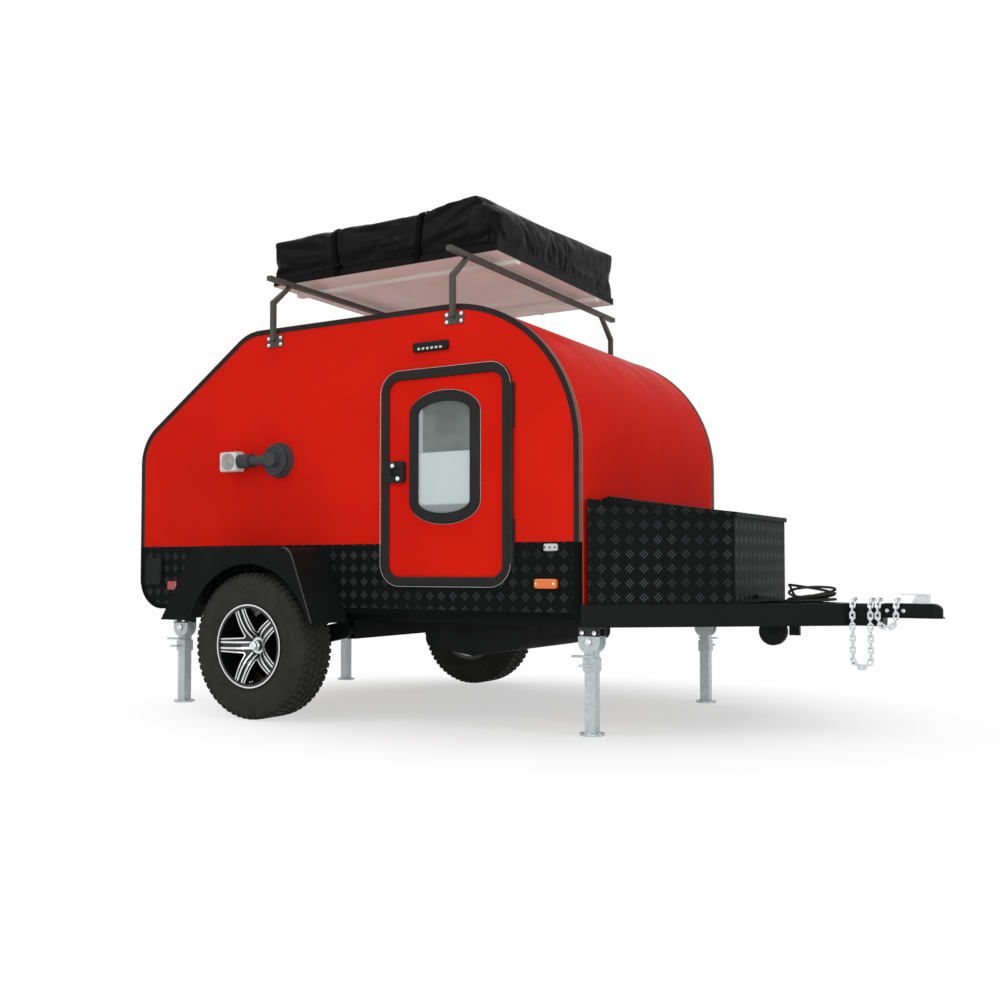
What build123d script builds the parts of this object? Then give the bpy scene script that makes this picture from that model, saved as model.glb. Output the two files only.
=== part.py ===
"""Teardrop camping trailer with a folded roof tent, a front toolbox and four drop legs.

Millimetres. +X points to the tow coupler, +Z is up, the ground is z 0, and the origin lies
under the middle of the overall length. The right side is -Y and is the side with the
swivel lamp in view.
"""

import os
from math import asin, cos, radians, sin, sqrt

from build123d import *

os.makedirs("parts", exist_ok=True)

# Overall layout
BODY_LENGTH = 2704
BODY_WIDTH = 1703
ROOF_Z = 1969
WALL_BOTTOM_Z = 520
SKIRT_TOP_Z = 854
DRAWBAR_REACH = 1359      # front face of the body to the tip of the coupler
TAIL_LAMP_DEPTH = 15
AXLE_SETBACK = 1659       # front face of the body to the axle
MOVING_GAP = 5            # clearance round a door, the hatch and the lid
SEAT_GAP = 0.3            # clearance where a loose piece rests

# Body shell
WALL = 40
SHELL = 40
SKIRT_SHEET = 3
TRIM_SHEET = 3
TRIM_FACE = 24
TRIM_WRAP = 26
REAR_FOOT_RADIUS = 160
SLOPE_FOOT_Z = 1436
SLOPE_FOOT_RADIUS = 240
SLOPE_TOP_RUN = 781
SLOPE_TOP_RADIUS = 260
NOSE_RADIUS = 692
HATCH_HINGE_RUN = 875     # rear face to the hatch hinge
BULKHEAD = 20
BULKHEAD_SETBACK = 40     # hatch hinge to the bulkhead
COUNTER_Z = 900
COUNTER = 18
COUNTER_DEPTH = 620
FLOOR = 40
MATTRESS = 120
MATTRESS_MARGIN = 25

# Chassis
FRAME_TOP_Z = 578
FRAME_HEIGHT = 100
RAIL = 60
RAIL_SETBACK = 101.5      # side wall's outer face to the outer face of a rail
CROSS_TUBE = 60
TUBE_WALL = 4
CROSS_SPACING = (-300, 345, 640, 1160)   # middle of each cross member ahead of the axle
FRONT_CROSS_SETBACK = 16.5
DRAW_RAIL = 50
NOSE_HALF = 50
NOSE_LENGTH = 225
NOSE_JOINT_RUN = 966      # body front to the point where a drawbar rail meets the nose
NOSE_FRONT_RUN = 1106
NOSE_CORNER = 20

# Coupler
COUPLER_HALF = 34
COUPLER_HEIGHT = 64
COUPLER_WALL = 5
COUPLER_FIT = 0.5
BALL_RADIUS = 25
BALL_SETBACK = 43         # tip of the coupler to the ball centre
STUB_LENGTH = 110
COUPLER_FLANGE = 7
COUPLER_RISE = 3
CUP_DEPTH = 46
LEVER_WIDTH = 20
LEVER_LENGTH = 117
LEVER_RISE = 38
LEVER_SETBACK = 18

# Safety chains
LINK_LENGTH = 41
LINK_WIDTH = 26
LINK_WIRE = 7.5
CHAIN_STANDOFF = 18
CHAIN_PIN_RADIUS = 4
CHAIN_TURNS = 5
CHAIN_RUNS = (978, 1088)   # body front to the first strand of each chain
CHAIN_DROPS = (206, 26)    # straight part of a strand

# Jockey wheel
JOCKEY_PIVOT_SETBACK = 40  # rear of the nose block to the pivot
JOCKEY_PIVOT_Z = 528
JOCKEY_REACH = 245
JOCKEY_DROP = 87
JOCKEY_TUBE_RADIUS = 24
JOCKEY_WHEEL_RADIUS = 66
JOCKEY_WHEEL_WIDTH = 44
JOCKEY_AXLE_RADIUS = 7
JOCKEY_PLATE = 6
JOCKEY_LUG = 48
JOCKEY_LUG_Z = 425

# Running gear
TYRE_RADIUS = 358
TYRE_WIDTH = 225
TYRE_TREAD = 178
TYRE_WALL = 14
BEAD_RADIUS = 194
WHEEL_SETOUT = 52         # body side to the inner wall of the tyre
RIM_RING_RADIUS = 205
RIM_SHEET = 9
SPOKES = 5
RIB = 9                   # machined ribs, two along each spoke
RIB_OFFSET = 14.5         # middle of a spoke to the middle of a rib
EDGE_RIB = 6              # machined rib round each opening
SPOKE_HALF = 32.5
OPENING_FOOT = 66
OPENING_RADIUS = 12
SPOKE_DEPTH = 40
SPOKE_GROOVE = 7
DISH = ((48, 60), (76, 34), (98, 22), (124, 13), (156, 7))   # radius and depth of the spokes' face
DISH_EDGE = 4
HUB_RADIUS = 58
HUB_BORE = 38
HUB_DEPTH = 72
CAP_RADIUS = 22
CAP_HEIGHT = 38
CAP_COLLAR = 6
SPINDLE_RADIUS = 20
SPINDLE_FIT = 0.3
ARM_LEAD = 345            # trailing arm pivot ahead of the axle
ARM_PLATE = 36
ARM_END_RADIUS = 42
BEAM = 90
BEAM_WALL = 6
BEAM_SETBACK = 66.5
HUB_GAP = 24              # trailing arm to the back of the hub

# Fenders
FENDER_WIDTH = 280.5
FENDER_SHEET = 4
FENDER_ARCH_RADIUS = 400
FENDER_BOTTOM_Z = 475
FENDER_TOP_Z = 838
FENDER_REAR_RUN = 585     # bottom corners and top corners from the axle
FENDER_FRONT_RUN = 403
FENDER_TOP_REAR_RUN = 362
FENDER_TOP_FRONT_RUN = 262
FENDER_CORNER = 80

# Doors
DOOR_FROM_AXLE = 962
DOOR_WIDTH = 715
DOOR_HEIGHT = 1020
DOOR_Z = 1165
DOOR_RADIUS = 100
DOOR_RING = 42
DOOR_RING_PROUD = 12
DOOR_CORE = 28
WINDOW_WIDTH = 393
WINDOW_HEIGHT = 625
WINDOW_CROWN = 108        # height of the half-oval ends
WINDOW_RING = 50
WINDOW_PROUD = 14
WINDOW_RISE = 92
GLASS = 5
GLASS_LAP = 15
HANDLE_WIDTH = 94
HANDLE_HEIGHT = 104
HANDLE_DEPTH = 20
HANDLE_RISE = 30
JAMB_LAP = 14
JAMB_LAND = 26
JAMB = 12
HINGE_RADIUS = 6.5
HINGE_LEAF = 30
DOOR_LEAF = 12
HINGE_PLAY = 0.4

# Side fittings: length along X, height, depth
AWNING_LIGHT = (199, 45, 18)
AWNING_FROM_AXLE = 887
AWNING_Z = 1782
LAMP_FROM_HATCH = 127
LAMP_Z = 1288
LAMP_BASE_RADIUS = 92
LAMP_BASE = 30
LAMP_ARM_RADIUS = 36
LAMP_ARM_LENGTH = 130
LAMP_HEAD = (112, 104, 62)
MARKER = (110, 42, 20)
MARKER_FROM_AXLE = 1502
MARKER_Z = 669
STEP_LAMP = (67, 32, 14)
STEP_LAMP_FROM_AXLE = 1526
STEP_LAMP_Z = 829
REFLECTOR = (64, 46, 10)
REFLECTOR_FROM_REAR = 247
REFLECTOR_Z = 644
INLET = (118, 142, 24)
INLET_FROM_REAR = 115
INLET_Z = 719
TAIL_LAMP = (120, 210)
TAIL_LAMP_SETBACK = 161.5
TAIL_LAMP_Z = 745
HATCH_HANDLE = (150, 40)
HATCH_HANDLE_Z = 960

# Roof rack and tent
POST = 24
POST_LAP = 26             # top of the foot plate to the foot of the post
POST_REAR_FROM_HATCH = 90
POST_FRONT_FROM_AXLE = 1017
POST_PLATE_WIDTH = 104
POST_PLATE_HEIGHT = 58
POST_PLATE = 6
POST_PLATE_DROP = 37      # roof line to the top of the foot plate
POST_BEND_Z = 2095
POST_LEAN = 108.5         # side wall's outer face in to the middle of a post's top
BAR_WIDTH = 28
BAR_HEIGHT = 24
BAR_Z = 2211
BAR_REACH = 53.5
TENT_CHANNEL = (44, 20)
TENT_CHANNEL_Y = 450
TENT_REAR_FROM_HATCH = -95
TENT_LENGTH = 1395
TENT_HALF = 655
TENT_BASE = 30
TENT_COVER_REAR = 215
TENT_COVER_RIDGE = 295
TENT_COVER_FRONT = 140
TENT_RIDGE_SETBACK = 130
TENT_FLAT_LENGTH = 900
TENT_EDGE_RADIUS = 45

# Toolbox
BOX_GAP = 21              # body front to the back of the box
BOX_LENGTH = 520
BOX_SIDE_SETBACK = 5.5    # inner face of the wall to the rear corner of the box
BOX_FRONT_HALF = 383
BOX_SHEET = 5
BOX_REAR_Z = 1042
BOX_FRONT_Z = 980
BOX_STRIP = 62
LID = 5
LID_SKIRT = 12
LID_HINGE_RADIUS = 6

# Drop legs
LEG_FROM_REAR = 201
LEG_FRONT_FROM_AXLE = 1656
LEG_SETBACK = 33          # outer face of a rail to the middle of a leg
LEG_TUBE = 50
LEG_PIVOT_Z = 412
LEG_PIN_RADIUS = 8
LEG_PIN_FIT = 0.3
LEG_TOP = 30
LEG_COLLAR = 62
LEG_COLLAR_Z = 282
LEG_COLLAR_HEIGHT = 58
LEG_CHEEK = 6
LEG_CHEEK_HALF = 52
LEG_SIDE_PLAY = 2.5
LEG_PLATE = 8
LEG_FOOT_RADIUS = 56
LEG_FOOT = 10
LEG_PEDAL_RADIUS = 5
LEG_PEDAL_REACH = 46

# Water tank
TANK_FROM_AXLE = 620
TANK_LENGTH = 560
TANK_HALF = 500
TANK_DEPTH = 128
TANK_DIP = 45
TANK_RADIUS = 40

# Cable
COIL_FROM_AXLE = 2436
COIL_LENGTH = 240
COIL_WIDTH = 336
COIL_HEIGHT = 66
COIL_BAND = 58
CABLE_RADIUS = 4.5
PLUG_RADIUS = 17
PLUG_LENGTH = 92
GLAND_RADIUS = 11
GLAND_LENGTH = 16
GLAND_Y = -90
GLAND_RISE = 26

# Places that follow from the sizes
REAR_X = -(BODY_LENGTH + DRAWBAR_REACH - TAIL_LAMP_DEPTH) / 2
FRONT_X = REAR_X + BODY_LENGTH
TIP_X = FRONT_X + DRAWBAR_REACH
AXLE_X = FRONT_X - AXLE_SETBACK
HALF = BODY_WIDTH / 2
INNER_HALF = HALF - WALL
SKIRT_FACE = HALF + SKIRT_SHEET
RAIL_OUTER_HALF = HALF - RAIL_SETBACK
FRONT_CROSS_HALF = HALF - FRONT_CROSS_SETBACK
BEAM_HALF = HALF - BEAM_SETBACK
POST_TOP_HALF = HALF - POST_LEAN
BAR_HALF = HALF + BAR_REACH
LEG_Y = RAIL_OUTER_HALF - LEG_SETBACK
TAIL_LAMP_Y = HALF - TAIL_LAMP_SETBACK
HATCH_X = REAR_X + HATCH_HINGE_RUN
ROOF_FRONT_X = FRONT_X - NOSE_RADIUS
FRAME_BOTTOM_Z = FRAME_TOP_Z - FRAME_HEIGHT
FRAME_REAR_X = REAR_X + REAR_FOOT_RADIUS
FLOOR_TOP_Z = FRAME_TOP_Z + FLOOR
BULKHEAD_X = HATCH_X + BULKHEAD_SETBACK
DOOR_X = AXLE_X + DOOR_FROM_AXLE
DOOR_FACE = HALF + DOOR_RING_PROUD
HINGE_X = DOOR_X + DOOR_WIDTH / 2 + HINGE_RADIUS + 2.5
HINGE_Y = DOOR_FACE - 1
FENDER_OUTER_HALF = SKIRT_FACE + FENDER_WIDTH
WHEEL_Y = HALF + WHEEL_SETOUT + TYRE_WIDTH / 2
CROSS_FRONT_X = FRONT_X + CROSS_TUBE
NOSE_FRONT_X = FRONT_X + NOSE_FRONT_RUN
NOSE_REAR_X = NOSE_FRONT_X - NOSE_LENGTH
JOINT_X = FRONT_X + NOSE_JOINT_RUN
BALL_X = TIP_X - BALL_SETBACK
COUPLER_TOP_Z = FRAME_TOP_Z + COUPLER_RISE
COUPLER_Z = COUPLER_TOP_Z - COUPLER_HEIGHT
BOX_REAR_HALF = INNER_HALF - BOX_SIDE_SETBACK
BOX_REAR_X = FRONT_X + BOX_GAP
BOX_FRONT_X = BOX_REAR_X + BOX_LENGTH
TENT_X = HATCH_X + TENT_REAR_FROM_HATCH
POSTS_X = (HATCH_X + POST_REAR_FROM_HATCH, AXLE_X + POST_FRONT_FROM_AXLE)
BAR_TOP_Z = BAR_Z + BAR_HEIGHT
TENT_Z = BAR_TOP_Z + TENT_CHANNEL[1]
COVER_Z = TENT_Z + TENT_BASE

BODY_CORNERS = [
    (REAR_X, WALL_BOTTOM_Z),
    (REAR_X, SLOPE_FOOT_Z),
    (REAR_X + SLOPE_TOP_RUN, ROOF_Z),
    (FRONT_X, ROOF_Z),
    (FRONT_X, WALL_BOTTOM_Z),
]
BODY_RADII = [REAR_FOOT_RADIUS, SLOPE_FOOT_RADIUS, SLOPE_TOP_RADIUS, NOSE_RADIUS, 0]


def body_outline(inset=0):
    """Side view of the body, moved inwards by the inset."""
    with BuildSketch() as outline:
        with BuildLine():
            FilletPolyline(*BODY_CORNERS, radius=BODY_RADII, close=True)
        make_face()
        if inset:
            offset(amount=-inset, kind=Kind.INTERSECTION)
    return outline.sketch_local


def rounded_rect(x, z, width, height, radius):
    """Upright rounded rectangle in the side view."""
    with BuildSketch() as shape:
        with Locations((x, z)):
            RectangleRounded(width, height, radius)
    return shape.sketch_local


def door_outline(grow=0):
    return rounded_rect(DOOR_X, DOOR_Z, DOOR_WIDTH + 2 * grow, DOOR_HEIGHT + 2 * grow, DOOR_RADIUS + grow)


def window_outline(grow=0):
    """Straight sides with half-oval ends."""
    shoulder = WINDOW_HEIGHT / 2 - WINDOW_CROWN
    with BuildSketch() as shape:
        with Locations((DOOR_X, DOOR_Z + WINDOW_RISE)):
            Rectangle(WINDOW_WIDTH + 2 * grow, 2 * shoulder)
            with Locations((0, -shoulder), (0, shoulder)):
                Ellipse(WINDOW_WIDTH / 2 + grow, WINDOW_CROWN + grow)
    return shape.sketch_local


def side_plane(half):
    """Side view plane at this distance from the middle, facing out to the right."""
    return Plane.XZ.offset(half)


def mirrored(right):
    """The left-hand copy of a right-hand piece."""
    with BuildPart() as left:
        mirror(right.part, about=Plane.XZ)
    return left


def both_sides(right):
    """A right-hand piece and its left-hand copy in one sub-part."""
    with BuildPart() as pair:
        add(right.part)
        mirror(right.part, about=Plane.XZ)
    return pair


pieces = {}

# Side walls, with the doorway cut through
with BuildPart() as side_wall_right:
    with BuildSketch(side_plane(INNER_HALF)):
        add(body_outline())
        add(door_outline(MOVING_GAP), mode=Mode.SUBTRACT)
    extrude(amount=WALL)
pieces["side_wall_right"] = side_wall_right
pieces["side_wall_left"] = mirrored(side_wall_right)

# Black skirts on the lower half of the walls
with BuildPart() as skirt_right:
    with BuildSketch(side_plane(HALF)):
        add(body_outline(TRIM_FACE))
        with Locations(((REAR_X + FRONT_X) / 2, SKIRT_TOP_Z)):
            Rectangle(2 * BODY_LENGTH, 2 * ROOF_Z, align=(Align.CENTER, Align.MIN), mode=Mode.SUBTRACT)
        add(door_outline(MOVING_GAP), mode=Mode.SUBTRACT)
        with Locations((HINGE_X + DOOR_LEAF / 2, DOOR_Z)):
            Rectangle(
                DOOR_LEAF + 2 * HINGE_RADIUS, DOOR_HEIGHT - 2 * DOOR_RADIUS + MOVING_GAP, mode=Mode.SUBTRACT
            )
    extrude(amount=SKIRT_SHEET)
pieces["skirts"] = both_sides(skirt_right)

# Edge trims: an angle that wraps the rim of each wall
with BuildPart() as trim_right:
    with BuildSketch(side_plane(HALF)):
        add(body_outline(-TRIM_SHEET))
        add(body_outline(TRIM_FACE), mode=Mode.SUBTRACT)
    extrude(amount=TRIM_SHEET)
    with BuildSketch(side_plane(HALF - TRIM_WRAP)):
        add(body_outline(-TRIM_SHEET))
        add(body_outline(), mode=Mode.SUBTRACT)
    extrude(amount=TRIM_WRAP)
    with BuildSketch(side_plane(INNER_HALF)):
        with Locations((FRONT_X, FRAME_TOP_Z)):
            Rectangle(4 * TRIM_FACE, FRAME_TOP_Z, align=(Align.CENTER, Align.MAX))
    extrude(amount=WALL + TRIM_SHEET, mode=Mode.SUBTRACT)
pieces["edge_trims"] = both_sides(trim_right)


def shell_part(low_x, high_x, low_z, high_z, half):
    """The stretch of the wrapped shell inside a window of the side view."""
    with BuildPart() as stretch:
        with BuildSketch(Plane.XZ):
            add(body_outline())
            add(body_outline(SHELL), mode=Mode.SUBTRACT)
            with Locations(((low_x + high_x) / 2, (low_z + high_z) / 2)):
                Rectangle(high_x - low_x, high_z - low_z, mode=Mode.INTERSECT)
        extrude(amount=half, both=True)
    return stretch


BEYOND = 50
roof = shell_part(HATCH_X + MOVING_GAP / 2, ROOF_FRONT_X, ROOF_Z - 2 * SHELL, ROOF_Z + BEYOND, INNER_HALF)
front_panel = shell_part(ROOF_FRONT_X, FRONT_X + BEYOND, FRAME_TOP_Z, ROOF_Z + BEYOND, INNER_HALF)
rear_panel = shell_part(REAR_X - BEYOND, FRAME_REAR_X, WALL_BOTTOM_Z - BEYOND, SKIRT_TOP_Z, INNER_HALF)
hatch_shell = shell_part(
    REAR_X - BEYOND,
    HATCH_X - MOVING_GAP / 2,
    SKIRT_TOP_Z + MOVING_GAP,
    ROOF_Z + BEYOND,
    INNER_HALF - MOVING_GAP,
)
pieces["front_panel"] = front_panel
pieces["rear_panel"] = rear_panel

# Hatch hinge: root knuckles at both ends on the roof, one long knuckle on the hatch
HATCH_PIN_Z = ROOF_Z + HINGE_RADIUS
HATCH_HALF = INNER_HALF - MOVING_GAP
KNUCKLE_END = 180
with BuildPart() as roof_panel:
    add(roof.part)
    for side in (-1, 1):
        with BuildSketch(Plane.XZ.offset(-side * (HATCH_HALF - KNUCKLE_END / 2))):
            with Locations((HATCH_X, HATCH_PIN_Z)):
                Circle(HINGE_RADIUS)
            with Locations((HATCH_X, ROOF_Z)):
                Rectangle(HINGE_LEAF, HINGE_RADIUS, align=(Align.MIN, Align.MIN))
        extrude(amount=KNUCKLE_END / 2, both=True)
pieces["roof_panel"] = roof_panel

with BuildPart() as hatch_panel:
    add(hatch_shell.part)
    with BuildSketch(Plane.XZ):
        with Locations((HATCH_X, HATCH_PIN_Z)):
            Circle(HINGE_RADIUS)
        with Locations((HATCH_X, ROOF_Z)):
            Rectangle(HINGE_LEAF, HINGE_RADIUS, align=(Align.MAX, Align.MIN))
    extrude(amount=HATCH_HALF - KNUCKLE_END - HINGE_PLAY, both=True)
pieces["hatch_panel"] = hatch_panel

# Hatch handle: a flat lever housing with a finger recess
with BuildPart() as hatch_handle:
    with BuildSketch(Plane.YZ.offset(REAR_X)):
        with Locations((0, HATCH_HANDLE_Z)):
            RectangleRounded(HATCH_HANDLE[0], HATCH_HANDLE[1], HATCH_HANDLE[1] / 3)
    extrude(amount=-TAIL_LAMP_DEPTH)
    with BuildSketch(Plane.YZ.offset(REAR_X - TAIL_LAMP_DEPTH)):
        with Locations((0, HATCH_HANDLE_Z)):
            RectangleRounded(HATCH_HANDLE[0] * 0.6, HATCH_HANDLE[1] * 0.5, HATCH_HANDLE[1] / 5)
    extrude(amount=TAIL_LAMP_DEPTH / 2, mode=Mode.SUBTRACT)
pieces["hatch_handle"] = hatch_handle

# Floor, bulkhead, mattress and galley counter
with BuildPart() as floor_panel:
    with BuildSketch(Plane.XY.offset(FRAME_TOP_Z)):
        with Locations(((FRAME_REAR_X + FRONT_X - SHELL) / 2, 0)):
            Rectangle(FRONT_X - SHELL - FRAME_REAR_X, 2 * INNER_HALF)
    extrude(amount=FLOOR)
pieces["floor_panel"] = floor_panel

with BuildPart() as bulkhead:
    with BuildSketch(Plane.YZ.offset(BULKHEAD_X)):
        with Locations((0, FLOOR_TOP_Z)):
            Rectangle(2 * INNER_HALF, ROOF_Z - SHELL - FLOOR_TOP_Z, align=(Align.CENTER, Align.MIN))
    extrude(amount=BULKHEAD)
pieces["bulkhead"] = bulkhead

with BuildPart() as mattress:
    bed_length = FRONT_X - SHELL - BULKHEAD_X - BULKHEAD - 2 * MATTRESS_MARGIN
    with BuildSketch(Plane.XY.offset(FLOOR_TOP_Z + SEAT_GAP)):
        with Locations((BULKHEAD_X + BULKHEAD + MATTRESS_MARGIN + bed_length / 2, 0)):
            RectangleRounded(bed_length, 2 * (INNER_HALF - JAMB - MATTRESS_MARGIN), 3 * MATTRESS_MARGIN)
    extrude(amount=MATTRESS)
pieces["mattress"] = mattress

with BuildPart() as galley_counter:
    with BuildSketch(Plane.XY.offset(COUNTER_Z)):
        with Locations((BULKHEAD_X, 0)):
            Rectangle(COUNTER_DEPTH, 2 * INNER_HALF, align=(Align.MAX, Align.CENTER))
    extrude(amount=COUNTER)
    with BuildSketch(Plane.XY.offset(FLOOR_TOP_Z)):
        with Locations((BULKHEAD_X, -INNER_HALF / 3), (BULKHEAD_X, INNER_HALF / 3)):
            Rectangle(COUNTER_DEPTH, COUNTER, align=(Align.MAX, Align.CENTER))
    extrude(amount=COUNTER_Z - FLOOR_TOP_Z)
pieces["galley_counter"] = galley_counter

# Doors: core slab, raised red field, black ring, window frame, handle, glass
DOOR_IN = INNER_HALF + MOVING_GAP
GLASS_GROW = GLASS_LAP - WINDOW_RING
with BuildPart() as door_panel_right:
    with BuildSketch(side_plane(DOOR_IN)):
        add(door_outline())
    extrude(amount=DOOR_CORE)
    with BuildSketch(side_plane(DOOR_IN)):
        add(door_outline(-DOOR_RING))
    extrude(amount=HALF - DOOR_IN)
    with BuildSketch(side_plane(DOOR_IN)):
        add(window_outline(GLASS_GROW))
    extrude(amount=WALL, mode=Mode.SUBTRACT)
pieces["door_panel_right"] = door_panel_right
pieces["door_panel_left"] = mirrored(door_panel_right)

HINGE_HALF = DOOR_HEIGHT / 2 - DOOR_RADIUS
ROOT_KNUCKLE = HINGE_HALF / 2
with BuildPart() as door_frame_right:
    with BuildSketch(side_plane(DOOR_IN + DOOR_CORE)):
        add(door_outline())
        add(door_outline(-DOOR_RING), mode=Mode.SUBTRACT)
    extrude(amount=DOOR_FACE - DOOR_IN - DOOR_CORE)
    fillet(door_frame_right.faces().sort_by(Axis.Y)[0].edges(), radius=DOOR_RING_PROUD * 0.45)
    with BuildSketch(Plane.XY.offset(DOOR_Z)):
        with Locations((HINGE_X, -HINGE_Y)):
            Circle(HINGE_RADIUS)
        with Locations((HINGE_X, -DOOR_FACE)):
            Rectangle(DOOR_RING / 2, DOOR_RING_PROUD / 3, align=(Align.MAX, Align.MAX))
    extrude(amount=HINGE_HALF - ROOT_KNUCKLE - HINGE_PLAY, both=True)
pieces["door_frame_right"] = door_frame_right
pieces["door_frame_left"] = mirrored(door_frame_right)

HANDLE_X = DOOR_X - DOOR_WIDTH / 2 + DOOR_RING + HANDLE_WIDTH / 2 + 2
with BuildPart() as door_fittings_right:
    with BuildSketch(side_plane(HALF)):
        add(window_outline())
        add(window_outline(-WINDOW_RING), mode=Mode.SUBTRACT)
    extrude(amount=WINDOW_PROUD)
    chamfer(
        door_fittings_right.faces().sort_by(Axis.Y)[0].outer_wire().edges(), length=WINDOW_PROUD / 2
    )
    with BuildSketch(side_plane(HALF)):
        add(rounded_rect(HANDLE_X, DOOR_Z + HANDLE_RISE, HANDLE_WIDTH, HANDLE_HEIGHT, HANDLE_WIDTH / 6))
    extrude(amount=HANDLE_DEPTH)
    with BuildSketch(side_plane(HALF + HANDLE_DEPTH)):
        grip = (HANDLE_WIDTH * 0.6, HANDLE_HEIGHT * 0.4)
        add(rounded_rect(HANDLE_X, DOOR_Z + HANDLE_RISE, *grip, HANDLE_WIDTH / 8))
    extrude(amount=-HANDLE_DEPTH * 0.6, mode=Mode.SUBTRACT)
pieces["door_fittings_right"] = door_fittings_right
pieces["door_fittings_left"] = mirrored(door_fittings_right)

with BuildPart() as window_glass_right:
    with BuildSketch(side_plane(HALF - GLASS)):
        add(window_outline(GLASS_GROW - SEAT_GAP))
    extrude(amount=GLASS)
pieces["window_glass_right"] = window_glass_right
pieces["window_glass_left"] = mirrored(window_glass_right)

# Jambs: a stop frame inside the doorway and the fixed hinge leaves on the wall
with BuildPart() as jamb_right:
    with BuildSketch(side_plane(INNER_HALF - JAMB)):
        add(door_outline(JAMB_LAND))
        add(door_outline(-JAMB_LAP), mode=Mode.SUBTRACT)
    extrude(amount=JAMB)
with BuildPart() as hinge_right:
    for end in (-1, 1):
        with BuildSketch(Plane.XY.offset(DOOR_Z + end * (HINGE_HALF - ROOT_KNUCKLE / 2))):
            with Locations((HINGE_X, -HINGE_Y)):
                Circle(HINGE_RADIUS)
            with Locations((HINGE_X, -HALF)):
                Rectangle(DOOR_LEAF, HINGE_Y - HALF, align=(Align.MIN, Align.MAX))
        extrude(amount=ROOT_KNUCKLE / 2, both=True)
pieces["door_jambs"] = both_sides(jamb_right)
pieces["door_hinges"] = both_sides(hinge_right)

# Chassis rails and cross members
FRAME_Z = FRAME_BOTTOM_Z + FRAME_HEIGHT / 2
with BuildPart() as side_rails:
    with BuildSketch(Plane.YZ.offset(FRAME_REAR_X)):
        with Locations((RAIL / 2 - RAIL_OUTER_HALF, FRAME_Z), (RAIL_OUTER_HALF - RAIL / 2, FRAME_Z)):
            Rectangle(RAIL, FRAME_HEIGHT)
            Rectangle(RAIL - 2 * TUBE_WALL, FRAME_HEIGHT - 2 * TUBE_WALL, mode=Mode.SUBTRACT)
    extrude(amount=FRONT_X - FRAME_REAR_X)
pieces["side_rails"] = side_rails

with BuildPart() as cross_members:
    with BuildSketch(Plane.XZ):
        middles = [FRAME_REAR_X + CROSS_TUBE / 2] + [AXLE_X + run for run in CROSS_SPACING]
        with Locations(*[(middle, FRAME_Z) for middle in middles]):
            Rectangle(CROSS_TUBE, FRAME_HEIGHT)
            Rectangle(CROSS_TUBE - 2 * TUBE_WALL, FRAME_HEIGHT - 2 * TUBE_WALL, mode=Mode.SUBTRACT)
    extrude(amount=RAIL_OUTER_HALF - RAIL, both=True)

# Drawbar: front cross member and two rails that run in to the nose
DRAW_SLOPE = (FRONT_CROSS_HALF - NOSE_HALF) / NOSE_JOINT_RUN
DRAW_RAIL_Y = DRAW_RAIL * sqrt(1 + DRAW_SLOPE**2)


def draw_outer(x):
    """Distance of a drawbar rail's outer face from the middle."""
    return FRONT_CROSS_HALF - DRAW_SLOPE * (x - FRONT_X)


with BuildPart() as front_cross_member:
    with BuildSketch(Plane.XY.offset(FRAME_BOTTOM_Z)):
        with BuildLine():
            Polyline(
                (FRONT_X, -FRONT_CROSS_HALF),
                (CROSS_FRONT_X, -draw_outer(CROSS_FRONT_X)),
                (CROSS_FRONT_X, draw_outer(CROSS_FRONT_X)),
                (FRONT_X, FRONT_CROSS_HALF),
                close=True,
            )
        make_face()
    extrude(amount=FRAME_HEIGHT)
    with BuildSketch(Plane.XY.offset(FRAME_BOTTOM_Z)):
        with Locations(((FRONT_X + CROSS_FRONT_X) / 2, 0)):
            Rectangle(CROSS_TUBE - 2 * TUBE_WALL, 2 * draw_outer(CROSS_FRONT_X + TUBE_WALL))
    extrude(amount=FRAME_HEIGHT - TUBE_WALL, mode=Mode.SUBTRACT)
with BuildPart() as all_cross_members:
    add(cross_members.part)
    add(front_cross_member.part)
pieces["cross_members"] = all_cross_members

with BuildPart() as draw_rail_right:
    with BuildSketch(Plane.XY.offset(FRAME_BOTTOM_Z)):
        with BuildLine():
            Polyline(
                (CROSS_FRONT_X, -draw_outer(CROSS_FRONT_X)),
                (JOINT_X, -NOSE_HALF),
                (JOINT_X - DRAW_RAIL_Y / DRAW_SLOPE, -NOSE_HALF),
                (CROSS_FRONT_X, DRAW_RAIL_Y - draw_outer(CROSS_FRONT_X)),
                close=True,
            )
        make_face()
    extrude(amount=FRAME_HEIGHT)
    wall_y = DRAW_RAIL_Y * TUBE_WALL / DRAW_RAIL
    with BuildSketch(Plane.XY.offset(FRAME_BOTTOM_Z + TUBE_WALL)):
        with BuildLine():
            Polyline(
                (FRONT_X, wall_y - FRONT_CROSS_HALF),
                (JOINT_X, wall_y - NOSE_HALF),
                (JOINT_X, DRAW_RAIL_Y - wall_y - NOSE_HALF),
                (FRONT_X, DRAW_RAIL_Y - wall_y - FRONT_CROSS_HALF),
                close=True,
            )
        make_face()
    extrude(amount=FRAME_HEIGHT - 2 * TUBE_WALL, mode=Mode.SUBTRACT)
pieces["drawbar_rails"] = both_sides(draw_rail_right)

# Chain runs: a bolt, over the nose edge, down, a turn, up and back to a second bolt
LINK_PITCH = LINK_LENGTH - 2 * LINK_WIRE - SEAT_GAP
LINK_BAR = (LINK_LENGTH - LINK_WIRE) / 2
CHAIN_TOP_Z = FRAME_TOP_Z + CHAIN_STANDOFF
CHAIN_SIDE = NOSE_HALF + CHAIN_STANDOFF
CHAIN_TURN = 180 / CHAIN_TURNS
OVER_EDGE = (30, 60, 90)


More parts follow.
